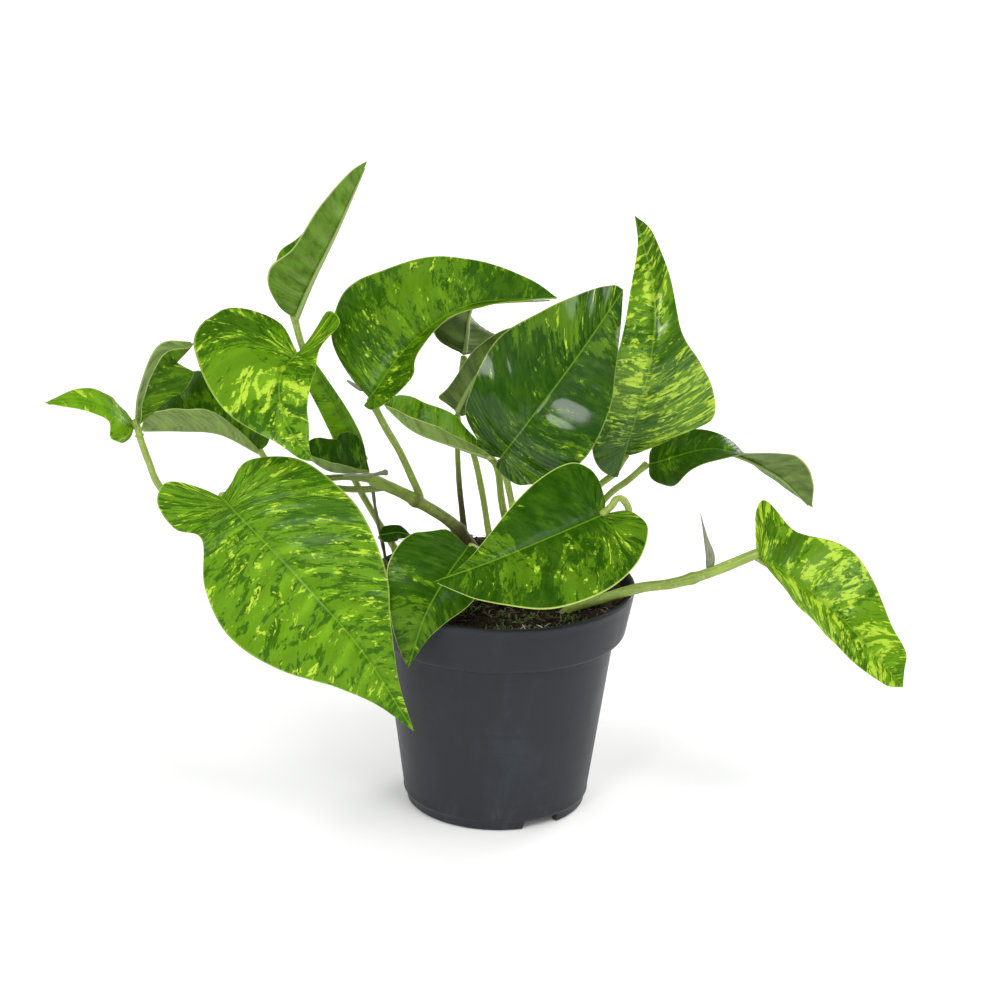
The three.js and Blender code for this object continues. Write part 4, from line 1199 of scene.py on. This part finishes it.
def make_dry_piece(name, material):
    stem = STEMS[name]
    route = np.asarray(stem["route"], float)
    route[0] = route[0] + unit(route[0] - route[1]) * 1.8
    length = np.linalg.norm(np.diff(route, axis=0), axis=1).sum()
    share = np.linspace(0, 1, 26)
    centres = spline(route, share)
    radius = float(stem["radius"])
    if name == "bract_spike":
        profile = radius * (0.9 + 1.6 * np.sin(np.pi * np.clip(share, 0,
                                                               1) ** 0.6)) * (1 - share**2.5) + 0.1
        points, faces, along, turn = sweep(centres, profile, 12, start_up=(0, -1, 0))
        flat = centres[np.minimum((along * 25).round().astype(int), 25)]
        away = points - flat
        away[:, 1] *= 0.35
        points = flat + away
        brown = smooth_rise(0.75, 1.0, along) * 0.5
    elif name == "stem_stub":
        profile = radius * (0.75 + 0.35 * np.sin(9 * share) ** 2 + 0.7 * np.exp(-(((share - 0.97) / 0.05) ** 2)))
        points, faces, along, turn = sweep(centres, profile, 12)
        brown = 0.3 * np.sin(5 * along) ** 2
    elif name == "bract_small":
        profile = radius * (1.5 * np.sin(np.pi * (0.15 + 0.8 * share)))
        points, faces, along, turn = sweep(centres, profile, 10)
        brown = 0.3 + 0 * along
    else:
        profile = radius * (1 + 0.12 * np.sin(21 * share) + 0.08 * np.sin(47 * share))
        points, faces, along, turn = sweep(centres, profile, 10)
        brown = 0.35 + 0.6 * along
    piece = add_piece(f"{name}_dry", points * MM, faces, [material], [name])
    carry(piece.data, "brown", brown)
    lay_out(piece.data, "stalk_run", np.column_stack([along * length / 10, np.sin(turn / 2)]))
    return piece


# ---------- pot ----------


def pot_plastic(settings):
    """Satin moulded plastic with a fine grain, faint flow lines and a little dust low down."""
    material, tree, shader = new_material("pot_plastic")
    place = tree.nodes.new("ShaderNodeNewGeometry").outputs["Position"]
    grain = clouds(tree, place, 1800.0, 3.0, 0.6)
    scuffs = clouds(tree, stretched(tree, place, (1, 1, 0.35)), 60.0, 6.0, 0.65, 0.4)
    flow = clouds(tree, stretched(tree, place, (1, 1, 9)), 30.0, 3.0, 0.5)
    colour = settings.plastic[:]
    worn = blend_colour(tree, step_between(tree, scuffs, 0.45, 0.75), shade(colour, 0.9),
                        shade(colour, 1.22))
    worn = blend_colour(tree, step_between(tree, flow, 0.5, 0.7, 0.0, 0.5), worn, shade(colour, 0.85))
    height = tree.nodes.new("ShaderNodeSeparateXYZ")
    feed(tree, height.inputs[0], place)
    low = step_between(tree, height.outputs[2], 0.0, 0.016, 1.0, 0.0)
    dust = calculate(tree, "MULTIPLY", low, step_between(tree, scuffs, 0.5, 0.72))
    feed(tree, shader["Base Color"], blend_colour(tree, calculate(tree, "MULTIPLY", dust, 0.4), worn,
                                                  (0.13, 0.12, 0.11)))
    feed(tree, shader["Roughness"], step_between(tree, scuffs, 0.3, 0.75, 0.36, 0.5))
    shader["Specular IOR Level"].default_value = 0.16
    bumps = calculate(tree, "ADD", calculate(tree, "MULTIPLY", grain, 0.35),
                      calculate(tree, "MULTIPLY", flow, 0.5))
    feed(tree, shader["Normal"], relief(tree, bumps, 0.25, 0.0004))
    return material


def pot_profile(rim, height):
    """Radius and height pairs up the outside, over the lip and down the inside, in metres."""
    band_foot = height - 21.5 * MM
    step = 56 * MM
    body_top, body_foot, foot = 51.2 * MM, 41.2 * MM, 39.9 * MM
    wall = 1.4 * MM
    body = lambda z: body_foot + (body_top - body_foot) * (z - 6 * MM) / (band_foot - 6.6 * MM)
    outside = [
        (0.0004, 0), (13 * MM, 0), (13.7 * MM, 0.2 * MM), (14 * MM, 0.6 * MM), (14.8 * MM, 3.8 * MM),
        (15.6 * MM, 4 * MM),
        (foot - 4.8 * MM, 4 * MM), (foot - 4.3 * MM, 3.7 * MM), (foot - 3.1 * MM, 0.4 * MM),
        (foot - 2.8 * MM, 0.1 * MM),
        (foot - 2.4 * MM, 0), (foot - 1.1 * MM, 0), (foot - 0.5 * MM, 0.15 * MM),
        (foot - 0.1 * MM, 0.55 * MM),
        (foot, 1.1 * MM), (foot + 0.45 * MM, 3.2 * MM), (body(4.7 * MM) - 0.15 * MM, 4.7 * MM),
        (body(5.1 * MM) + 0.2 * MM, 5.1 * MM), (body(5.7 * MM) + 0.22 * MM, 5.7 * MM),
        (body(6.2 * MM), 6.2 * MM),
    ]
    outside += [(body(z * MM), z * MM) for z in range(10, 78, 4)]
    outside += [
        (body_top - 0.1 * MM, band_foot - 1.1 * MM), (body_top + 0.25 * MM, band_foot - 0.35 * MM),
        (body_top + 1.1 * MM, band_foot - 0.05 * MM), (step - 2.4 * MM, band_foot),
        (step - 1.2 * MM, band_foot + 0.15 * MM),
        (step - 0.45 * MM, band_foot + 0.6 * MM), (step - 0.05 * MM, band_foot + 1.3 * MM),
        (step + 0.15 * MM, band_foot + 2.2 * MM),
    ]
    for share in (0.25, 0.45, 0.65, 0.82):
        outside.append((step + 0.15 * MM + (rim - 0.45 * MM - step) * share,
                        band_foot + 2.2 * MM + 17.0 * MM * share))
    outside += [
        (rim - 0.5 * MM, height - 2.4 * MM), (rim - 0.12 * MM, height - 1.7 * MM), (rim, height - 1.0 * MM),
        (rim - 0.15 * MM, height - 0.35 * MM), (rim - 0.5 * MM, height - 0.08 * MM),
        (rim - 0.9 * MM, height),
        (rim - 1.7 * MM, height), (rim - 2.15 * MM, height - 0.12 * MM),
        (rim - 2.4 * MM, height - 0.5 * MM),
        (rim - 2.6 * MM, height - 1.5 * MM), (rim - 2.7 * MM, height - 3 * MM),
    ]
    inside = [
        (step - 2 * wall + 0.4 * MM, band_foot + 4 * MM), (step - 2 * wall, band_foot + 2.5 * MM),
        (body_top - wall + 0.4 * MM, band_foot - 0.6 * MM), (body_top - wall, band_foot - 1.5 * MM),
        (body_foot - wall + 0.3 * MM, 7 * MM), (body_foot - wall - 0.6 * MM, 5.6 * MM),
        (body_foot - wall - 2 * MM, 5.4 * MM),
        (0.0004, 5.4 * MM),
    ]
    return outside + inside


def make_pot(settings):
    profile = np.array(pot_profile(settings.rim_radius, settings.height))
    notch_width, notch_radius, notch_height = 17 * MM, 39.5 * MM, 3.8 * MM
    half = notch_width / 2 / notch_radius
    middles = [math.radians(-59 + 120 * i) for i in range(3)]
    angles = list(np.linspace(0, 2 * math.pi, settings.segments, endpoint=False))
    for middle in middles:
        for way in (-1, 1):
            angles += [(middle + way * half + shift) % (2 * math.pi) for shift in (-0.012, -0.004, 0.004, 0.012)]
    angles = np.array(sorted(set(np.round(angles, 5))))
    off = np.min([np.abs(np.angle(np.exp(1j * (angles - middle)))) for middle in middles], axis=0)
    lift = notch_height * (1 - smooth_rise(half - 0.013, half + 0.013, off))
    rings, faces = [], []
    for radius, z in profile:
        low = (radius > 30 * MM) & (z < notch_height)
        up = np.maximum(z, lift + z * 0.02) if low else np.full(len(angles), z)
        rings.append(np.column_stack([radius * np.cos(angles), radius * np.sin(angles), up]))
    around = len(angles)
    for i in range(len(profile) - 1):
        for k in range(around):
            n = (k + 1) % around
            faces.append([i * around + k, i * around + n, (i + 1) * around + n, (i + 1) * around + k])
    faces.append(list(range(around))[::-1])
    faces.append([(len(profile) - 1) * around + k for k in range(around)])
    piece = add_piece("pot_shell", np.vstack(rings), faces, [pot_plastic(settings)], ["pot"])
    sharpen(piece, 50)
    return piece


# ---------- soil ----------

SOIL_EDGE = 57.3
SOIL_LEVEL = 96.4


def soil_height(x, y):
    """Level of the soil in millimetres: a slight crown and the mound at the back left."""
    crown = 1.5 * (1 - (x * x + y * y) / SOIL_EDGE**2)
    return SOIL_LEVEL + crown + 14 * math.exp(-(((x + 20) / 24) ** 2 + ((y - 28) / 13) ** 2) / 2)


def lumps(x, y, size):
    """Rough peat: fine and coarse lumps, in millimetres."""
    coarse = noise.fractal(Vector((x * 0.11, y * 0.11, 3.1)), 1.0, 2.0, 4)
    fine = noise.fractal(Vector((x * 0.45, y * 0.45, 7.7)), 0.8, 2.0, 4)
    ridge = abs(noise.noise(Vector((x * 0.9, y * 0.9, 1.3))))
    return size * (0.55 * coarse + 0.4 * fine + 0.35 * ridge)


def peat(settings):
    """Damp fibrous peat, nearly black in its hollows, with lighter crumbs and fibres."""
    material, tree, shader = new_material("damp_peat")
    place = tree.nodes.new("ShaderNodeNewGeometry").outputs["Position"]
    coarse = clouds(tree, place, 260.0, 6.0, 0.7)
    fine = clouds(tree, place, 1100.0, 5.0, 0.7)
    threads = clouds(tree, stretched(tree, place, (1, 5, 2)), 420.0, 3.0, 0.6, 1.5)
    tint = carried(tree, "tint")
    base = blend_colour(tree, step_between(tree, coarse, 0.3, 0.7), shade(settings.peat, 0.3),
                        shade(settings.peat, 2.0))
    base = blend_colour(tree, step_between(tree, fine, 0.5, 0.75, 0.0, 0.7), base, (0.085, 0.055, 0.030))
    base = blend_colour(tree, step_between(tree, threads, 0.62, 0.72, 0.0, 0.6), base, (0.16, 0.11, 0.06))
    base = blend_colour(tree, tint, base, (0.20, 0.13, 0.07))
    feed(tree, shader["Base Color"], base)
    feed(tree, shader["Roughness"], step_between(tree, coarse, 0.3, 0.7, 0.75, 0.98))
    shader["Specular IOR Level"].default_value = 0.15
    feed(tree, shader["Normal"], relief(tree, calculate(tree, "ADD", coarse, fine), 0.8, 0.0008))
    return material


def plain_growth(name, dark, light, rough):
    """Moss or rootlets: two colours mixed by a fine noise and by each leaflet's own tint."""
    material, tree, shader = new_material(name)
    place = tree.nodes.new("ShaderNodeNewGeometry").outputs["Position"]
    fine = clouds(tree, place, 900.0, 4.0, 0.6)
    mixed = calculate(tree, "ADD", calculate(tree, "MULTIPLY", fine, 0.6),
                      calculate(tree, "MULTIPLY", carried(tree, "tint"), 0.5))
    feed(tree, shader["Base Color"], blend_colour(tree, step_between(tree, mixed, 0.15, 0.85), dark, light))
    feed(tree, shader["Roughness"], step_between(tree, fine, 0.3, 0.7, rough, rough + 0.15))
    feed(tree, shader["Normal"], relief(tree, fine, 0.4, 0.0004))
    return material


def make_soil_bed(settings, material):
    size = settings.roughness / MM
    around, rings = 200, 62
    radii = SOIL_EDGE * np.linspace(0.01, 1, rings)
    angles = 2 * np.pi * np.arange(around) / around
    points = []
    for radius in radii:
        for angle in angles:
            x, y = radius * math.cos(angle), radius * math.sin(angle)
            points.append((x, y, soil_height(x, y) + lumps(x, y, size)))
    for radius, z in ((SOIL_EDGE - 1.5, SOIL_LEVEL - 6), (SOIL_EDGE - 5, SOIL_LEVEL - 12)):
        points += [(radius * math.cos(angle), radius * math.sin(angle), z) for angle in angles]
    rings += 2
    faces = [list(range(around))]
    for i in range(rings - 1):
        for k in range(around):
            n = (k + 1) % around
            faces.append([i * around + k, (i + 1) * around + k, (i + 1) * around + n, i * around + n])
    faces.append([(rings - 1) * around + k for k in range(around)][::-1])
    piece = add_piece("soil_bed", np.array(points) * MM, faces, [material], ["soil"])
    carry(piece.data, "tint", np.zeros(len(points)))
    return piece


def scatter(picked, spread=0.985):
    """A random place on the soil: x, y and the rough surface's height, in millimetres."""
    radius = SOIL_EDGE * spread * math.sqrt(picked.random())
    angle = picked.uniform(0, 2 * math.pi)
    x, y = radius * math.cos(angle), radius * math.sin(angle)
    return x, y, soil_height(x, y)


def ball():
    made = bmesh.new()
    bmesh.ops.create_icosphere(made, subdivisions=1, radius=1)
    points = np.array([v.co[:] for v in made.verts])
    faces = [[v.index for v in face.verts] for face in made.faces]
    made.free()
    return points, faces


def make_crumbs(settings, material):
    picked = random.Random(11)
    round_points, round_faces = ball()
    size = settings.roughness / MM
    parts = []
    for _ in range(settings.crumbs):
        x, y, z = scatter(picked, 0.96)
        big = 0.45 + 1.25 * picked.random() ** 2.2
        turn = np.array(Matrix.Rotation(picked.uniform(0, 6.28), 3,
                                        Vector([picked.gauss(0, 1) for _ in range(3)])))
        stretch = np.array([picked.uniform(0.6, 1.3) for _ in range(3)]) * big
        rough = 1 + 0.22 * np.array([picked.uniform(-1, 1) for _ in range(len(round_points))])[:, None]
        place = np.array([x, y, z + lumps(x, y, size) + big * 0.25])
        points = (round_points * rough * stretch) @ turn.T + place
        parts.append((points, round_faces, np.full(len(points), picked.random() ** 3 * 0.7)))
    points, faces, (tint,) = joined(parts)
    piece = add_piece("soil_crumbs", points * MM, faces, [material], smooth=False)
    carry(piece.data, "tint", tint)
    return piece


def strand(picked, start, heading, length, radius, droop, wander, count=9, sides=5):
    """A bending thread that tapers at both ends."""
    here, way, centres = np.array(start, float), unit(np.array(heading, float)), []
    for _ in range(count):
        centres.append(here.copy())
        way = unit(way + wander * np.array([picked.gauss(0,
                                                         1) for _ in range(3)]) + np.array([0, 0, -droop]))
        here = here + way * length / (count - 1)
    taper = radius * (0.35 + 0.65 * np.sin(np.pi * np.linspace(0.08, 0.92, count)))
    points, faces, share, _ = sweep(centres, taper, sides)
    return points, faces, np.full(len(points), picked.random())


def make_fibres(settings, material):
    picked = random.Random(23)
    parts = []
    for _ in range(settings.fibres):
        x, y, z = scatter(picked, 0.93)
        angle = picked.uniform(0, 6.28)
        heading = (math.cos(angle), math.sin(angle), picked.uniform(-0.05, 0.45))
        long = picked.uniform(3, 10)
        parts.append(strand(picked, (x, y, z + 0.9), heading, long, picked.uniform(0.1, 0.24), 0.12, 0.22,
                            8, 4))
    points, faces, (tint,) = joined(parts)
    keep = points[:, :2]
    far = np.maximum(np.linalg.norm(keep, axis=1, keepdims=True), 1e-6)
    points[:, :2] = keep * np.minimum(1, (SOIL_EDGE - 0.4) / far)
    piece = add_piece("soil_fibres", points * MM, faces, [material])
    carry(piece.data, "tint", 0.25 + 0.75 * tint)
    return piece


def make_moss(settings, material):
    picked = random.Random(37)
    tufts = [(picked.uniform(-1, 1), picked.uniform(-1, 1)) for _ in range(26)]
    places = [(8, -50), (14, -49), (20, -46), (30, -44), (-2, -50), (38, -38), (3, -47)]
    places += [(a * 40, b * 40) for a, b in tufts if math.hypot(a, b) < 1.2]
    parts = []
    for i in range(settings.moss):
        x0, y0 = places[i % len(places)]
        x, y = x0 + picked.gauss(0, 2.2), y0 + picked.gauss(0, 1.6)
        if math.hypot(x, y) > SOIL_EDGE - 2:
            continue
        z = soil_height(x, y) + lumps(x, y, settings.roughness / MM) * 0.6
        heading = (picked.gauss(0, 0.6), picked.gauss(0, 0.6), 1)
        parts.append(strand(picked, (x, y, z), heading, picked.uniform(1.2, 3.4),
                            picked.uniform(0.22, 0.42), 0.1, 0.25, 5, 4))
    points, faces, (tint,) = joined(parts)
    piece = add_piece("moss_tufts", points * MM, faces, [material])
    carry(piece.data, "tint", tint)
    return piece


def make_rootlets(material):
    picked = random.Random(41)
    parts = []
    for x, y, angle, long in ((12, -46, -2.4, 12), (16, -44, -0.6, 14), (10, -44, -1.2, 9),
                              (22, -42, -2.0, 9),
                              (-30, 10, 1.0, 12), (34, 18, 2.6, 14), (-6, 40, 0.2, 10), (40, -12, 1.9, 9)):
        z = soil_height(x, y) + 1.6
        heading = (math.cos(angle), math.sin(angle), 0.35)
        parts.append(strand(picked, (x, y, z), heading, long, 0.24, 0.09, 0.2, 14, 6))
    points, faces, (tint,) = joined(parts)
    far = np.maximum(np.linalg.norm(points[:, :2], axis=1, keepdims=True), 1e-6)
    points[:, :2] = points[:, :2] * np.minimum(1, (SOIL_EDGE - 0.5) / far)
    piece = add_piece("rootlets", points * MM, faces, [material])
    carry(piece.data, "tint", tint)
    return piece


# ---------- studio ----------


def white_room(strength):
    world = bpy.data.worlds.new("white_room")
    world.use_nodes = True
    tree = world.node_tree
    shade = tree.nodes["Background"]
    shade.inputs["Color"].default_value = (1.0, 1.0, 1.0, 1)
    in_gloss = tree.nodes.new("ShaderNodeLightPath").outputs["Is Glossy Ray"]
    feed(tree, shade.inputs["Strength"], step_between(tree, in_gloss, 0.0, 1.0, strength, 0.12 * strength))
    bpy.context.scene.world = world


def soft_sun(name, strength, spread, direction):
    light = bpy.data.lights.new(name, "SUN")
    light.energy = strength
    light.angle = math.radians(spread)
    lamp = bpy.data.objects.new(name, light)
    lamp.rotation_euler = Vector(direction).to_track_quat("Z", "Y").to_euler()
    bpy.context.scene.collection.objects.link(lamp)


def soft_panel(name, power, size, place, target):
    light = bpy.data.lights.new(name, "AREA")
    light.energy = power
    light.shape = "DISK"
    light.size = size
    lamp = bpy.data.objects.new(name, light)
    lamp.visible_camera = False
    lamp.location = place
    lamp.rotation_euler = (Vector(place) - Vector(target)).to_track_quat("Z", "Y").to_euler()
    bpy.context.scene.collection.objects.link(lamp)


def make_floor(settings):
    material, tree, shader = new_material("pale_floor")
    place = tree.nodes.new("ShaderNodeNewGeometry").outputs["Position"]
    cloudy = clouds(tree, place, 3.0)
    feed(tree, shader["Base Color"], blend_colour(tree, cloudy, settings.floor[:],
                                                  shade(settings.floor, 0.99)))
    shader["Roughness"].default_value = 0.9
    shader["Specular IOR Level"].default_value = 0.1
    shader["Emission Color"].default_value = (1, 1, 1, 1)
    shader["Emission Strength"].default_value = settings.glow
    made = bmesh.new()
    bmesh.ops.create_circle(made, cap_ends=True, segments=96, radius=14)
    mesh = bpy.data.meshes.new("floor")
    made.to_mesh(mesh)
    made.free()
    mesh.materials.append(material)
    floor = bpy.data.objects.new("floor", mesh)
    floor.location.z = CAD_BOX[0][2] - 0.0003
    bpy.context.scene.collection.objects.link(floor)


def make_camera(settings):
    """Looks along +Y and down on the plant, rolled slightly."""
    target = Vector((-0.0007, 0, 0.1394))
    distance, elevation, roll = 1.2, math.radians(18.57), math.radians(1.26)
    back = Vector((0, -math.cos(elevation), math.sin(elevation)))
    right = Vector((1, 0, 0))
    up = back.cross(right)
    turned_right = right * math.cos(roll) + up * math.sin(roll)
    turned_up = up * math.cos(roll) - right * math.sin(roll)
    lens = bpy.data.cameras.new("camera")
    lens.lens = settings.lens
    lens.sensor_width = 36
    camera = bpy.data.objects.new("camera", lens)
    turn = Matrix((turned_right, turned_up, back)).transposed().to_4x4()
    camera.matrix_world = Matrix.Translation(target + back * distance) @ turn
    bpy.context.scene.collection.objects.link(camera)
    bpy.context.scene.camera = camera


# ---------- operators ----------


class POTHOS_OT_pot(bpy.types.Operator):
    """Turns the nursery pot with its rim band, moulded line and foot notches"""

    bl_idname = "pothos.pot"
    bl_label = "Pot"

    def execute(self, context):
        make_pot(context.scene.pothos_pot)
        return {"FINISHED"}


class POTHOS_OT_soil(bpy.types.Operator):
    """Fills the pot with rough peat, crumbs, fibres, moss and rootlets"""

    bl_idname = "pothos.soil"
    bl_label = "Soil"

    def execute(self, context):
        settings = context.scene.pothos_soil
        material = peat(settings)
        make_soil_bed(settings, material)
        make_crumbs(settings, material)
        make_fibres(settings, plain_growth("peat_fibre", (0.05, 0.032, 0.016), (0.30, 0.22, 0.12), 0.7))
        make_moss(settings, plain_growth("moss", (0.02, 0.05, 0.008), (0.13, 0.24, 0.04), 0.6))
        make_rootlets(plain_growth("rootlet", (0.45, 0.45, 0.33), (0.78, 0.80, 0.66), 0.5))
        return {"FINISHED"}


class POTHOS_OT_leaves(bpy.types.Operator):
    """Makes every marbled blade with its veins, ripples and midrib"""

    bl_idname = "pothos.leaves"
    bl_label = "Leaves"

    def execute(self, context):
        for name, leaf in LEAVES.items():
            petiole = STEMS.get(name.replace("leaf_", "petiole_"), {"radius": 1.3})
            make_blade(name, leaf, FINISH[name], context.scene.pothos_leaves, petiole["radius"])
        return {"FINISHED"}


class POTHOS_OT_stalks(bpy.types.Operator):
    """Makes the vines and the leaf stalks, with joints and brown old growth"""

    bl_idname = "pothos.stalks"
    bl_label = "Stalks"

    def execute(self, context):
        settings = context.scene.pothos_stems
        material = stem_skin(settings)
        for name in STEMS:
            if name not in DRY_PIECES:
                make_stem(name, material, settings.sides)
        return {"FINISHED"}


class POTHOS_OT_dry_growth(bpy.types.Operator):
    """Makes the dry bracts, the stub and the aerial root"""

    bl_idname = "pothos.dry_growth"
    bl_label = "Dry growth"

    def execute(self, context):
        material = dry_skin(context.scene.pothos_stems)
        for name in DRY_PIECES:
            make_dry_piece(name, material)
        return {"FINISHED"}


class POTHOS_OT_studio(bpy.types.Operator):
    """Sets the pale floor, the soft lights and the camera"""

    bl_idname = "pothos.studio"
    bl_label = "Studio"

    def execute(self, context):
        settings = context.scene.pothos_studio
        white_room(settings.surroundings)
        soft_sun("key_light", settings.key, 28, (0.45, -0.55, 0.9))
        soft_sun("fill_light", settings.fill, 60, (-0.7, -0.35, 0.8))
        middle = (CAD_BOX[0] + CAD_BOX[1]) / 2
        soft_panel("front_panel", settings.front, 0.42, middle + Vector((-0.58, -1.28, 0.72)), middle)
        soft_panel("rim_panel", settings.rim, 0.9, middle + Vector((0.95, 1.25, 0.35)), middle)
        make_floor(settings)
        make_camera(settings)
        context.scene.view_settings.view_transform = "Standard"
        return {"FINISHED"}


class POTHOS_PT_panel(bpy.types.Panel):
    """Lists the plant's pieces in the sidebar"""

    bl_idname = "POTHOS_PT_panel"
    bl_label = "Golden Pothos"
    bl_space_type = "VIEW_3D"
    bl_region_type = "UI"
    bl_category = "Pothos"

    def draw(self, context):
        for maker in OPERATORS:
            self.layout.operator(maker.bl_idname)
        for group in SETTINGS:
            box = self.layout.box()
            for label in SETTINGS[group].__annotations__:
                box.prop(getattr(context.scene, group), label)


SETTINGS = {
    "pothos_pot": PothosPotSettings,
    "pothos_soil": PothosSoilSettings,
    "pothos_leaves": PothosLeafSettings,
    "pothos_stems": PothosStemSettings,
    "pothos_studio": PothosStudioSettings,
}
OPERATORS = (
    POTHOS_OT_pot, POTHOS_OT_soil, POTHOS_OT_leaves, POTHOS_OT_stalks, POTHOS_OT_dry_growth,
    POTHOS_OT_studio,
)


def register():
    for group, kind in SETTINGS.items():
        bpy.utils.register_class(kind)
        setattr(bpy.types.Scene, group, bpy.props.PointerProperty(type=kind))
    for kind in (*OPERATORS, POTHOS_PT_panel):
        bpy.utils.register_class(kind)


def unregister():
    for kind in (POTHOS_PT_panel, *reversed(OPERATORS)):
        bpy.utils.unregister_class(kind)
    for group, kind in reversed(SETTINGS.items()):
        delattr(bpy.types.Scene, group)
        bpy.utils.unregister_class(kind)


def main():
    register()
    bpy.ops.pothos.pot()
    bpy.ops.pothos.soil()
    bpy.ops.pothos.leaves()
    bpy.ops.pothos.stalks()
    bpy.ops.pothos.dry_growth()
    bpy.ops.pothos.studio()


if __name__ == "__main__":
    main()
